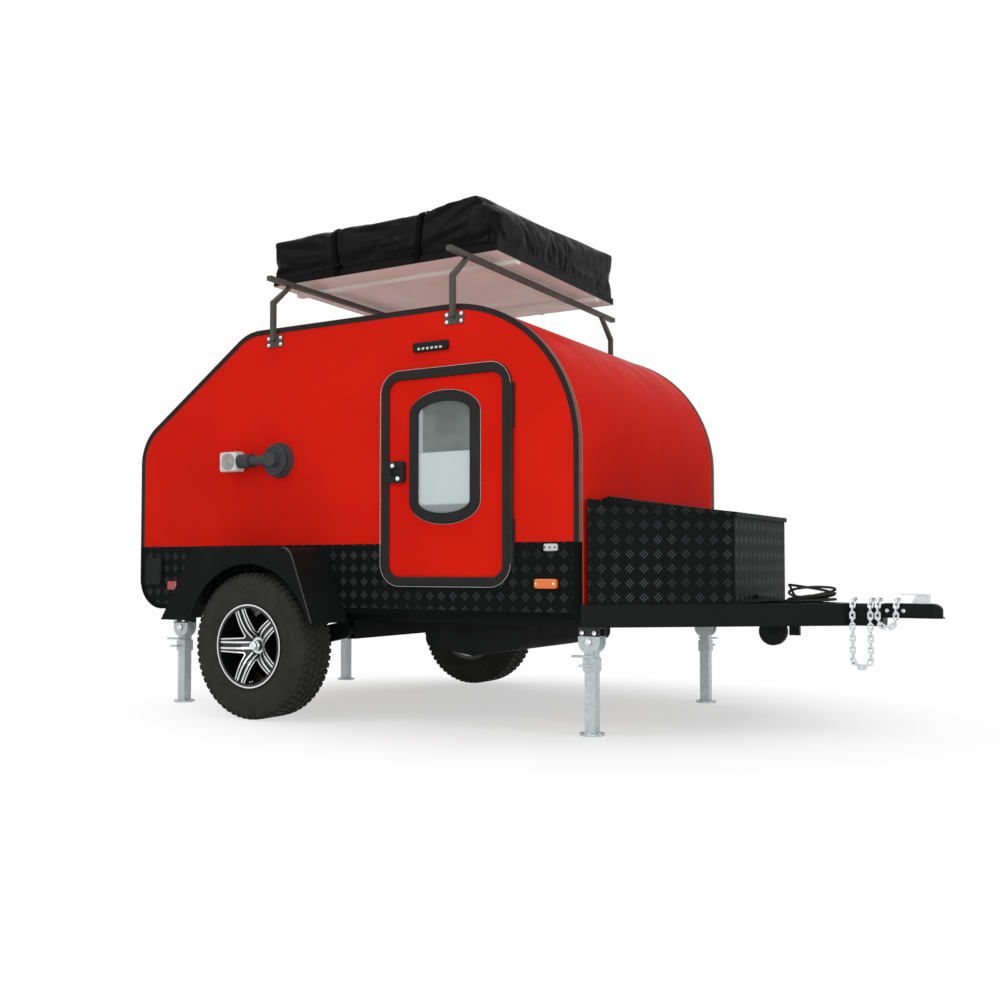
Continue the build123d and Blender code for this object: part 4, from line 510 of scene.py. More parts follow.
def two_tone(name, upper, lower, roughness, rim=None, lining=None):
    """Coat that changes colour at the top of the skirts.

    A rim's colour, a painted highlight, goes on faces that look fore, aft or up, and a lining's on the wall's
    inner face."""
    f = Finish(name, upper, roughness, Specular_IOR_Level=0.012)
    _, y, z = f.axes()
    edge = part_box("skirts")[1].z
    cloud = f.spread(f.noise(2.2, 4), 0.3, 0.7, 0, 1)
    over = f.math("GREATER_THAN", z, edge - 0.002)
    coat = f.mix(cloud, scaled(upper, 0.94), scaled(upper, 1.05))
    if rim:
        # Faces that look fore, aft or up take the rim colour, a painted highlight along the trim's outer
        # wrap.
        sideways = f.math("ABSOLUTE", f.axes("Normal")[1])
        coat = f.mix(f.math("LESS_THAN", sideways, 0.6), coat, rim)
    coat = f.mix(over, lower, coat)
    if lining:
        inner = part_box("side_wall_left")[0].y + 0.002
        coat = f.mix(f.math("LESS_THAN", f.math("ABSOLUTE", y), inner), coat, lining)
    f.paint(coat)
    f.gloss(f.spread(f.noise(7, 5), 0.3, 0.7, roughness - 0.05, roughness + 0.05))
    f.relief(f.noise(160, 2), 0.0004, 0.25)
    return f.material


def machined_rim(name, dark, bright):
    """Gloss black alloy wheel whose rib faces, lip and cap are turned bright."""
    f = Finish(name, dark, 0.25)
    low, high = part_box("tyre_right")
    axle = (low + high) / 2
    x, y, z = f.axes()
    radius = f.reach(f.flat(f.math("SUBTRACT", x, axle.x), f.math("SUBTRACT", z, axle.z)))
    rise = f.math("SUBTRACT", f.math("ABSOLUTE", y), abs(axle.y))
    lip = 0.1075
    profile = (  # radius, depth of the spokes' face below the lip
        (0.038, 0.072), (0.048, 0.060), (0.076, 0.034), (0.098, 0.022), (0.124, 0.013), (0.156, 0.007),
        (0.190, 0.004))
    height = None
    for (near, deep), (away, shallow) in zip(profile, profile[1:]):
        slope = (deep - shallow) / (away - near)
        line = f.math("ADD", f.math("MULTIPLY", radius, slope), lip - deep - slope * near)
        height = line if height is None else f.math("MINIMUM", height, line)
    face = f.math("GREATER_THAN", rise, f.math("SUBTRACT", height, 0.003))
    spokes = f.math("MULTIPLY", face, f.math("LESS_THAN", radius, 0.184))
    edge = f.math("COMPARE", radius, 0.2, 0.0035)
    face = f.math("MAXIMUM", spokes, f.math("MULTIPLY", edge, f.math("GREATER_THAN", rise, 0.1)))
    flatness = f.spread(f.math("ABSOLUTE", f.axes("Normal")[1]), 0.5, 0.62, 0, 1)
    cap = f.math("MULTIPLY", f.math("LESS_THAN", radius, 0.0245), f.math("GREATER_THAN", rise, 0.037))
    turned = f.math("MAXIMUM", f.math("MULTIPLY", face, flatness), cap)
    rings = f.spread(f.math("SINE", f.math("MULTIPLY", radius, 2600)), -1, 1, 0, 1)
    f.paint(f.mix(turned, dark, bright))
    f.feed(f.shader.inputs["Metallic"], turned)
    f.gloss(f.spread(f.math("ADD", turned, f.math("MULTIPLY", rings, 0.2)), 0, 1.2, 0.28, 0.34))
    f.relief(f.math("MULTIPLY", rings, turned), 0.0001, 0.2)
    return f.material


def brushed_metal(name, colour, roughness, metallic=1.0):
    """Bright metal with fine lines and uneven polish."""
    f = Finish(name, colour, roughness, Metallic=metallic)
    lines = f.noise(60, 4, 0.6)
    f.gloss(f.spread(lines, 0.3, 0.7, roughness - 0.08, roughness + 0.12))
    f.relief(lines, 0.0002, 0.15)
    return f.material


def zinc_coat(name, colour, cap=None, level=0.0):
    """Galvanised steel with soft spangle, with a coat of the cap's colour above the level."""
    f = Finish(name, colour, 0.42, Metallic=0.45)
    node = f.tree.nodes.new("ShaderNodeTexVoronoi")
    node.inputs["Scale"].default_value = 90
    f.join(f.place.outputs["Object"], node.inputs["Vector"])
    flake = f.tree.nodes.new("ShaderNodeSeparateColor")
    f.join(node.outputs["Color"], flake.inputs[0])
    spangle = f.mix(flake.outputs[0], scaled(colour, 0.9), scaled(colour, 1.08))
    if cap:
        over = f.math("GREATER_THAN", f.axes()[2], level)
        spangle = f.mix(over, spangle, cap)
        f.feed(f.shader.inputs["Metallic"], f.math("MULTIPLY", f.math("SUBTRACT", 1.0, over), 0.45))
    f.paint(spangle)
    f.gloss(f.spread(flake.outputs[1], 0, 1, 0.34, 0.5))
    f.relief(f.noise(35, 3), 0.0006, 0.2)
    return f.material


def bar_height(f, source):
    """Raised bars of a tread plate, 0 on the sheet and 1 on a bar, for a flat coordinate."""
    cell = 0.064
    u, v, _ = f.axes(f.mapped((1 / cell,) * 3, source))
    count = f.math("ADD", f.math("FLOOR", u), f.math("FLOOR", v))
    parity = f.math("ABSOLUTE", f.math("MODULO", count, 2))
    fu = f.math("SUBTRACT", f.math("FRACT", u), 0.5)
    fv = f.math("SUBTRACT", f.math("FRACT", v), 0.5)
    rise = f.math("MULTIPLY", f.math("ADD", fu, fv), sqrt(0.5))
    fall = f.math("MULTIPLY", f.math("SUBTRACT", fu, fv), sqrt(0.5))
    keep = f.math("SUBTRACT", 1.0, parity)
    along = f.math("ADD", f.math("MULTIPLY", rise, keep), f.math("MULTIPLY", fall, parity))
    across = f.math("ADD", f.math("MULTIPLY", fall, keep), f.math("MULTIPLY", rise, parity))
    lines = f.math("FRACT", f.math("ADD", f.math("MULTIPLY", across, 5.6), 0.5))
    bar = f.spread(f.math("ABSOLUTE", f.math("SUBTRACT", lines, 0.5)), 0.08, 0.22, 1, 0)
    ends = f.spread(f.math("ABSOLUTE", along), 0.23, 0.29, 1, 0)
    sides = f.math("LESS_THAN", f.math("ABSOLUTE", across), 0.285)
    return f.math("MULTIPLY", f.math("MULTIPLY", bar, ends), sides)


def tread_plate(name, colour, facing):
    """Black-coated tread plate whose bars are painted paler in uneven patches, for side faces, end faces or a
    whole box.
    """
    f = Finish(name, colour, 0.4, Specular_IOR_Level=0.03)
    x, y, z = f.axes()
    if facing == "side":
        flat = f.flat(x, z)
    elif facing == "end":
        flat = f.flat(y, z)
    else:
        normal = f.axes("Normal")
        ahead = f.math("GREATER_THAN", f.math("ABSOLUTE", normal[0]), 0.85)
        up = f.math("GREATER_THAN", f.math("ABSOLUTE", normal[2]), 0.6)
        not_ahead, not_up = f.math("SUBTRACT", 1.0, ahead), f.math("SUBTRACT", 1.0, up)
        slant = f.math(
            "SUBTRACT", f.math("MULTIPLY", x, 0.776), f.math("MULTIPLY", f.math("ABSOLUTE", y), 0.631))
        level = f.math("ADD", f.math("MULTIPLY", slant, not_ahead), f.math("MULTIPLY", y, ahead))
        flat = f.flat(
            f.math("ADD", f.math("MULTIPLY", level, not_up), f.math("MULTIPLY", x, up)),
            f.math("ADD", f.math("MULTIPLY", z, not_up), f.math("MULTIPLY", y, up)))
    bars = bar_height(f, flat)
    # The raised bars are painted much paler, unevenly.
    paler_bars = f.math("MULTIPLY", bars, f.spread(f.noise(4, 4), 0.3, 0.7, 0.4, 1.0))
    f.paint(f.mix(paler_bars, colour, scaled(colour, 15.0)))
    f.gloss(f.spread(bars, 0, 1, 0.46, 0.32))
    f.relief(bars, 0.002, 0.9)
    return f.material


def rubber_coat(name, colour, roughness=0.75):
    """Moulded rubber with a dusty bloom."""
    f = Finish(name, colour, roughness, Specular_IOR_Level=0.15)
    f.paint(f.mix(f.spread(f.noise(12, 5), 0.3, 0.75, 0, 1), scaled(colour, 0.85), scaled(colour, 1.25)))
    f.gloss(f.spread(f.noise(30, 4), 0.3, 0.7, roughness - 0.1, roughness + 0.08))
    f.relief(f.noise(700, 2), 0.0003, 0.3)
    return f.material


def lens_plastic(name, colour, roughness=0.12, glow=0.0):
    """Clear or tinted lamp plastic with moulded ribs."""
    f = Finish(name, colour, roughness, Transmission_Weight=0.35, IOR=1.49, Coat_Weight=0.5)
    if glow:
        f.shader.inputs["Emission Color"].default_value = colour
        f.shader.inputs["Emission Strength"].default_value = glow
    f.relief(f.wave("X", 60), 0.0008, 0.5)
    return f.material


def window_pane(name):
    """Grey-green tinted pane, paler over its lower half, less so at the very bottom, and in a band near its
    rear edge.
    """
    f = Finish(name, roughness=0.06, Transmission_Weight=0.4, IOR=1.45, Specular_IOR_Level=0.2)
    x, _, z = f.axes()
    low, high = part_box("window_glass_right")
    line = high.z - 0.456 * (high.z - low.z)
    # Paler below a line across the pane, less so in a strip at the bottom.
    pale_lower_half = f.spread(z, line - 0.004, line + 0.004, 1, 0)
    pale_lower_half = f.math("MULTIPLY", pale_lower_half, f.spread(z, low.z + 0.05, low.z + 0.062, 0.35, 1))
    streak = f.spread(x, low.x + 0.03, low.x + 0.045, 0.75, 0)
    cloud = f.spread(f.noise(5, 3), 0.3, 0.7, 0, 0.18)
    pale = f.math("MAXIMUM", pale_lower_half, streak)
    f.paint(f.mix(f.math("MAXIMUM", pale, cloud), shade(114, 124, 121), shade(224, 238, 236)))
    return f.material


def plywood(name, colour):
    """Rotary-cut veneer under clear lacquer."""
    f = Finish(name, colour, 0.4, Coat_Weight=0.15)
    grain = f.noise(14, 6, 0.62, source=f.mapped((0.12, 1.6, 1.6)), distortion=0.8)
    f.paint(f.mix(f.spread(grain, 0.3, 0.7, 0, 1), scaled(colour, 0.78), scaled(colour, 1.1)))
    f.relief(grain, 0.0003, 0.2)
    return f.material


def coated_fabric(name, colour, roughness=0.4, shine=0.06):
    """Heavy coated cloth: a fine weave under a dull vinyl face."""
    f = Finish(name, colour, roughness, Specular_IOR_Level=shine)
    warp, weft, upright = (f.wave(direction, 170) for direction in ("X", "Y", "Z"))
    weave = f.math("MULTIPLY", f.math("MAXIMUM", warp, weft), upright)
    f.paint(f.mix(f.spread(f.noise(6, 5), 0.3, 0.7, 0, 1), scaled(colour, 0.85), scaled(colour, 1.2)))
    f.gloss(f.spread(f.noise(18, 4), 0.3, 0.7, roughness - 0.07, roughness + 0.1))
    f.relief(weave, 0.0004, 0.12)
    f.relief(f.noise(26, 3, 0.5), 0.004, 0.06)
    return f.material


def sheet_paint(name, colour, roughness=0.5):
    """Pale stove-enamelled sheet with faint handling marks."""
    f = Finish(name, colour, roughness)
    f.paint(f.mix(f.spread(f.noise(3, 6, 0.6), 0.35, 0.7, 0, 1), scaled(colour, 0.93), scaled(colour, 1.03)))
    f.gloss(f.spread(f.noise(8, 4), 0.3, 0.7, roughness - 0.08, roughness + 0.08))
    f.relief(f.noise(240, 2), 0.0003, 0.15)
    return f.material


# Rays that meet the white background as the camera does
SEEN_THROUGH = ("Is Glossy Ray", "Is Transmission Ray")


class TRAILER_OT_stage(bpy.types.Operator):
    """Camera, pale floor, softboxes and surrounding light"""
    bl_idname = "trailer.stage"
    bl_label = "Set the stage"

    def execute(self, context):
        stage = context.scene.trailer_stage
        context.scene.view_settings.view_transform = "Standard"
        bpy.ops.object.select_all(action="DESELECT")
        bpy.ops.object.camera_add(
            location=stage.place, rotation=(pi / 2 + stage.pitch, 0, stage.heading))
        camera = context.object
        camera.name = "camera"
        camera.data.lens = stage.lens
        camera.data.sensor_width = 36
        camera.data.shift_y = stage.rise
        camera.data.clip_end = 200
        context.scene.camera = camera
        self.floor()
        self.softbox("key_light", (0.6, -6.6, 4.6), (-0.3, 0, 1.0), 5.0, stage.key)
        self.softbox("top_light", (-0.3, -0.4, 6.6), (-0.3, 0, 0), 6.0, stage.top)
        self.softbox("front_light", (6.8, -1.6, 3.4), (0.7, 0, 0.9), 4.0, stage.front)
        self.softbox("low_light", (4.4, -7.4, 0.5), (-0.3, 0, 1.8), 4.0, stage.low)
        self.softbox("rear_light", (-3.6, -5.4, 5.2), (-0.5, -0.4, 1.9), 1.1, stage.rear)
        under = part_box("roof_panel")[1].z + 0.02
        fill = self.softbox("fill_light", (-0.55, 0, under), (-0.55, 0, 4.0), 1.5, stage.fill)
        fill.visible_camera = False
        self.surround(context, stage.ambient)
        return {"FINISHED"}

    def softbox(self, name, place, target, size, power):
        bpy.ops.object.light_add(type="AREA", location=place)
        lamp = bpy.context.object
        lamp.name = name
        lamp.data.size = size
        lamp.data.energy = power
        lamp.rotation_euler = (Vector(target) - Vector(place)).to_track_quat("-Z", "Y").to_euler()
        return lamp

    def floor(self):
        bpy.ops.mesh.primitive_plane_add(size=60, location=(0, 0, -0.001))
        floor = fresh("floor")
        f = Finish("floor_white", (0.9, 0.9, 0.9, 1), 0.8)
        far = f.spread(f.reach(f.mapped((0.8, 1.0, 1.0))), 0.9, 2.0, 0.52, 1.0)
        path = f.tree.nodes.new("ShaderNodeLightPath")
        seen = path.outputs["Is Camera Ray"]
        for kind in SEEN_THROUGH:
            seen = f.math("MAXIMUM", seen, path.outputs[kind])
        white = f.tree.nodes.new("ShaderNodeEmission")
        white.inputs["Color"].default_value = (1, 1, 1, 1)
        mix = f.tree.nodes.new("ShaderNodeMixShader")
        f.join(f.math("MULTIPLY", far, seen), mix.inputs[0])
        f.join(f.shader.outputs[0], mix.inputs[1])
        f.join(white.outputs[0], mix.inputs[2])
        f.join(mix.outputs[0], f.output.inputs["Surface"])
        floor.data.materials.append(f.material)

    def surround(self, context, ambient):
        world = bpy.data.worlds.new("surround")
        context.scene.world = world
        world.use_nodes = True
        tree = world.node_tree
        back = tree.nodes["Background"]
        back.inputs["Color"].default_value = (1, 1, 1, 1)
        path = tree.nodes.new("ShaderNodeLightPath")
        seen = path.outputs["Is Camera Ray"]
        for kind in SEEN_THROUGH:
            either = tree.nodes.new("ShaderNodeMath")
            either.operation = "MAXIMUM"
            tree.links.new(seen, either.inputs[0])
            tree.links.new(path.outputs[kind], either.inputs[1])
            seen = either.outputs[0]
        level = tree.nodes.new("ShaderNodeMapRange")
        level.inputs["To Min"].default_value = ambient
        level.inputs["To Max"].default_value = 1.0
        tree.links.new(seen, level.inputs["Value"])
        tree.links.new(level.outputs[0], back.inputs["Strength"])


class TRAILER_OT_finishes(bpy.types.Operator):
    """Materials of the solids that stay in view"""
    bl_idname = "trailer.finishes"
    bl_label = "Finish the solids"

    def execute(self, context):
        c = context.scene.trailer_finishes
        red = gloss_paint("gloss_red", c.paint)
        plate_side = tread_plate("tread_plate_side", c.plate, "side")
        plate_end = tread_plate("tread_plate_end", c.plate, "end")
        plate_box = tread_plate("tread_plate_box", c.plate, "box")
        satin = powder_coat("satin_black", c.satin)
        fender = powder_coat("fender_black", shade(22, 24, 24), 0.45, shine=0.03)
        cover = powder_coat("cover_plastic", shade(29, 31, 31), 0.5, 1400)
        rack = powder_coat("rack_grey", c.rack, 0.5)
        # The pale brown on the trim's fore, aft and upward faces is a painted highlight.
        trim = two_tone("edge_trim", c.trim, c.satin, 0.38, shade(112, 92, 88))
        wall = two_tone("wall_red_over_black", c.paint, c.satin, 0.36, lining=c.wood)
        zinc = zinc_coat("zinc", c.zinc)
        bracket = zinc_coat("zinc_under_black", c.zinc, c.satin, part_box("leg_brackets")[1].z - 0.042)
        # Paler grey for the fender lips: a painted highlight along their rolled edge.
        powder_coat("lip_highlight_grey", shade(74, 76, 76), 0.35)
        steel = brushed_metal("grey_steel", shade(205, 207, 209), 0.26, metallic=0.75)
        brushed_metal("bright_metal", c.bright, 0.25)
        fabric = coated_fabric("mattress_cloth", shade(176, 178, 182), 0.7, 0.2)
        rubber = rubber_coat("tyre_rubber", c.rubber)
        jockey = rubber_coat("jockey_rubber", shade(19, 20, 20))
        plastic = powder_coat("black_plastic", shade(36, 37, 37), 0.4, 1400)
        gloss_black = powder_coat("gloss_black", shade(37, 37, 36), 0.3, 1800)
        amber = lens_plastic("amber_lens", c.amber, 0.15, 0.25)
        red_lens = lens_plastic("red_lens", c.red_lens, 0.15)
        clear = lens_plastic("clear_lens", shade(232, 236, 236), 0.08)
        pane = window_pane("tinted_pane")
        rim = machined_rim("machined_rim", shade(14, 15, 15), c.bright)
        wood = plywood("plywood", c.wood)
        cloth = coated_fabric("tent_vinyl", c.tent)
        enamel = sheet_paint("tent_base_enamel", c.tent_base)
        tank = powder_coat("tank_plastic", shade(32, 33, 34), 0.6, 500, 0.03)
        lamp_grey = powder_coat("lamp_grey", shade(62, 64, 66), 0.45, 1200)
        coated_fabric("webbing", shade(4, 4, 4), 0.7, 0.05)
        # Bright grey for the lamp's lens ring, and for the seal tubes, whose brightness is a painted
        # highlight round the window and door rings.
        brushed_metal("bright_ring_and_highlight", shade(150, 150, 148), 0.4, metallic=0.6)
        wanted = {
            red: ("roof_panel", "front_panel", "hatch_panel", "door_panel_right", "door_panel_left"),
            wall: ("side_wall_right", "side_wall_left"),
            plate_side: ("skirts",),
            plate_end: ("rear_panel",),
            plate_box: ("toolbox", "toolbox_lid"),
            satin: ("axle_beam", "coupler", "cross_members", "drawbar_nose", "drawbar_rails",
                    "side_rails", "trailing_arms", "jockey_bracket", "jockey_arm", "hatch_handle"),
            fender: ("fenders",),
            bracket: ("leg_brackets",),
            rack: ("rack_posts", "rack_crossbars"),
            trim: ("edge_trims",),
            zinc: ("leg_front_right", "leg_front_left", "leg_rear_right", "leg_rear_left"),
            steel: ("coupler_lever", "safety_chains", "cable_plug"),
            jockey: ("jockey_wheel",),
            rubber: ("tyre_right", "tyre_left", "cable_coil", "cable_lead"),
            plastic: ("door_fittings_right", "door_fittings_left"),
            cover: ("wall_covers",),
            lamp_grey: ("side_lamp",),
            gloss_black: ("door_frame_right", "door_frame_left", "door_jambs", "door_hinges"),
            rim: ("rim_right", "rim_left"),
            amber: ("amber_markers",),
            red_lens: ("red_lamps",),
            clear: ("clear_lenses",),
            pane: ("window_glass_right", "window_glass_left"),
            wood: ("bulkhead", "floor_panel", "galley_counter"),
            cloth: ("tent_cover",),
            fabric: ("mattress",),
            enamel: ("tent_base",),
            tank: ("water_tank",),
        }
        left = set(NODES)
        for material, names in wanted.items():
            for name in names:
                slots = NODES[name].material_slots
                for one in slots:
                    one.link = "DATA"
                    one.material = material
                if not slots:
                    NODES[name].data.materials.append(material)
                left.discard(name)
        if left:
            raise RuntimeError("No finish for " + ", ".join(sorted(left)))
        return {"FINISHED"}


# Turns of the coil: middle along and across, share of the half length and half width, height, tilt, its phase
LOOPS = (
    (0.000, 0.000, 1.00, 1.00, 0.5850, 0.000, 0.0), (-0.004, 0.004, 0.91, 0.94, 0.6000, 0.010, 0.6),
    (0.007, -0.008, 0.97, 0.88, 0.6150, 0.024, 1.5), (-0.003, 0.004, 0.86, 0.95, 0.6290, 0.031, 2.6),
    (0.004, 0.004, 0.94, 0.84, 0.6310, 0.030, 4.1))


COIL_X = 1.457
COIL_STEPS = 14
LEAD_IN = (  # from the gland to the first turn
    (1.237, -0.090, 0.604), (1.252, -0.090, 0.604), (1.267, -0.089, 0.603), (1.300, -0.070, 0.594),
    (1.327, -0.046, 0.5885), (1.342, -0.014, 0.5845))
LEAD_OUT = (  # from the last turn into the plug
    (1.3555, 0.045, 0.6255), (1.3480, 0.085, 0.6170), (1.3450, 0.125, 0.6060), (1.3500, 0.160, 0.5985),
    (1.3660, 0.1810, 0.5955), (1.3800, 0.1865, 0.5953), (1.3950, 0.1865, 0.5953))


class TRAILER_OT_tow_cable(bpy.types.Operator):
    """Plug cable from the toolbox gland, in loose turns on the drawbar"""
    bl_idname = "trailer.tow_cable"
    bl_label = "Lay the tow cable"

    def execute(self, context):
        cable = context.scene.tow_cable
        turns = [self.loop(cable, step / COIL_STEPS) for step in range(COIL_STEPS * cable.turns + 1)]
        points = [Vector(p) for p in LEAD_IN] + turns + [Vector(p) for p in LEAD_OUT]
        cord, spline = round_run("tow_cable", points, cable.diameter / 2, "NURBS", 4)
        spline.order_u = 3
        spline.use_endpoint_u = True
        spline.resolution_u = 6
        put(cord, "trailer", bpy.data.materials["tyre_rubber"])
        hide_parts("cable_coil", "cable_lead")
        shell, collar = self.plug()
        put(shell, "trailer", bpy.data.materials["black_plastic"])
        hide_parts("cable_plug")
        put(collar, "trailer", bpy.data.materials["bright_metal"])
        return {"FINISHED"}

    def loop(self, cable, turn):
        """Point of the coil: each turn has its own middle, reach, height and tilt."""
        ring = min(int(turn), len(LOOPS) - 2)
        part = turn - ring
        blend = part * part * (3 - 2 * part)
        x, y, wide, long, height, tilt, phase = (
            a + (b - a) * blend for a, b in zip(LOOPS[ring], LOOPS[ring + 1]))
        angle = pi - 2 * pi * turn
        return Vector((
            COIL_X + x + cable.half_length * wide * cos(angle), y + cable.half_width * long * sin(angle),
            height + tilt * sin(angle + phase)))

    def plug(self):
        """Round plug with a ribbed strain relief and a bright locking collar."""
        axis = Vector((0, *LEAD_OUT[-1][1:]))
        relief = [(0.0046, 1.3655)]
        for rib in range(5):
            size = 0.0060 + 0.0009 * rib
            start = 1.3670 + 0.0054 * rib
            relief += [(size + 0.0012, start), (size + 0.0012, start + 0.0032), (size, start + 0.0036)]
        shell = lathe("cable_plug_shell", axis, [(0.0005, 1.3655)] + relief + [
            (0.0140, 1.3940), (0.0162, 1.3965), (0.0165, 1.4000), (0.0165, 1.4280), (0.0150, 1.4300),
            (0.0150, 1.4480), (0.0160, 1.4490), (0.0160, 1.4845), (0.0150, 1.4855), (0.0135, 1.4855),
            (0.0135, 1.4740), (0.0005, 1.4740)], 36, "X")
        collar = lathe("cable_plug_collar", axis, [
            (0.0151, 1.4305), (0.0166, 1.4310), (0.0166, 1.4360), (0.0158, 1.4365), (0.0158, 1.4385),
            (0.0166, 1.4390), (0.0166, 1.4470), (0.0151, 1.4475), (0.0151, 1.4305)], 36, "X")
        pins = []
        for number in range(6):
            angle = 2 * pi * number / 6
            spot = axis + Vector((0, 0.0075 * cos(angle), 0.0075 * sin(angle)))
            pins.append(lathe("pin", spot, [
                (0.0005, 1.4742), (0.0015, 1.4742), (0.0015, 1.4820), (0.0008, 1.4835),
                (0.0002, 1.4835)], 10, "X"))
        return shell, joined("cable_plug_collar", [collar] + pins)


# Creases of the cover's sides: start along and up, end along and up, depth, width
CREASES = (
    (-1.24, 0.030, -0.84, 0.050, 0.012, 0.014), (-1.22, 0.175, -0.88, 0.110, 0.009, 0.024),
    (-1.10, 0.090, -0.86, 0.075, 0.006, 0.016), (-0.80, 0.045, -0.34, 0.085, 0.010, 0.020),
    (-0.76, 0.185, -0.40, 0.140, 0.008, 0.026), (-0.62, 0.105, -0.34, 0.125, 0.006, 0.016),
    (-0.28, 0.045, 0.00, 0.110, 0.012, 0.016), (-0.29, 0.140, 0.04, 0.280, 0.012, 0.026),
    (-0.16, 0.120, 0.08, 0.240, 0.008, 0.018))


STRAPS = ((-0.813, -0.847), (-0.315, -0.285))  # place along at the foot and over the top
HEM_DROP = 0.031
STRAP_DROP = 0.032


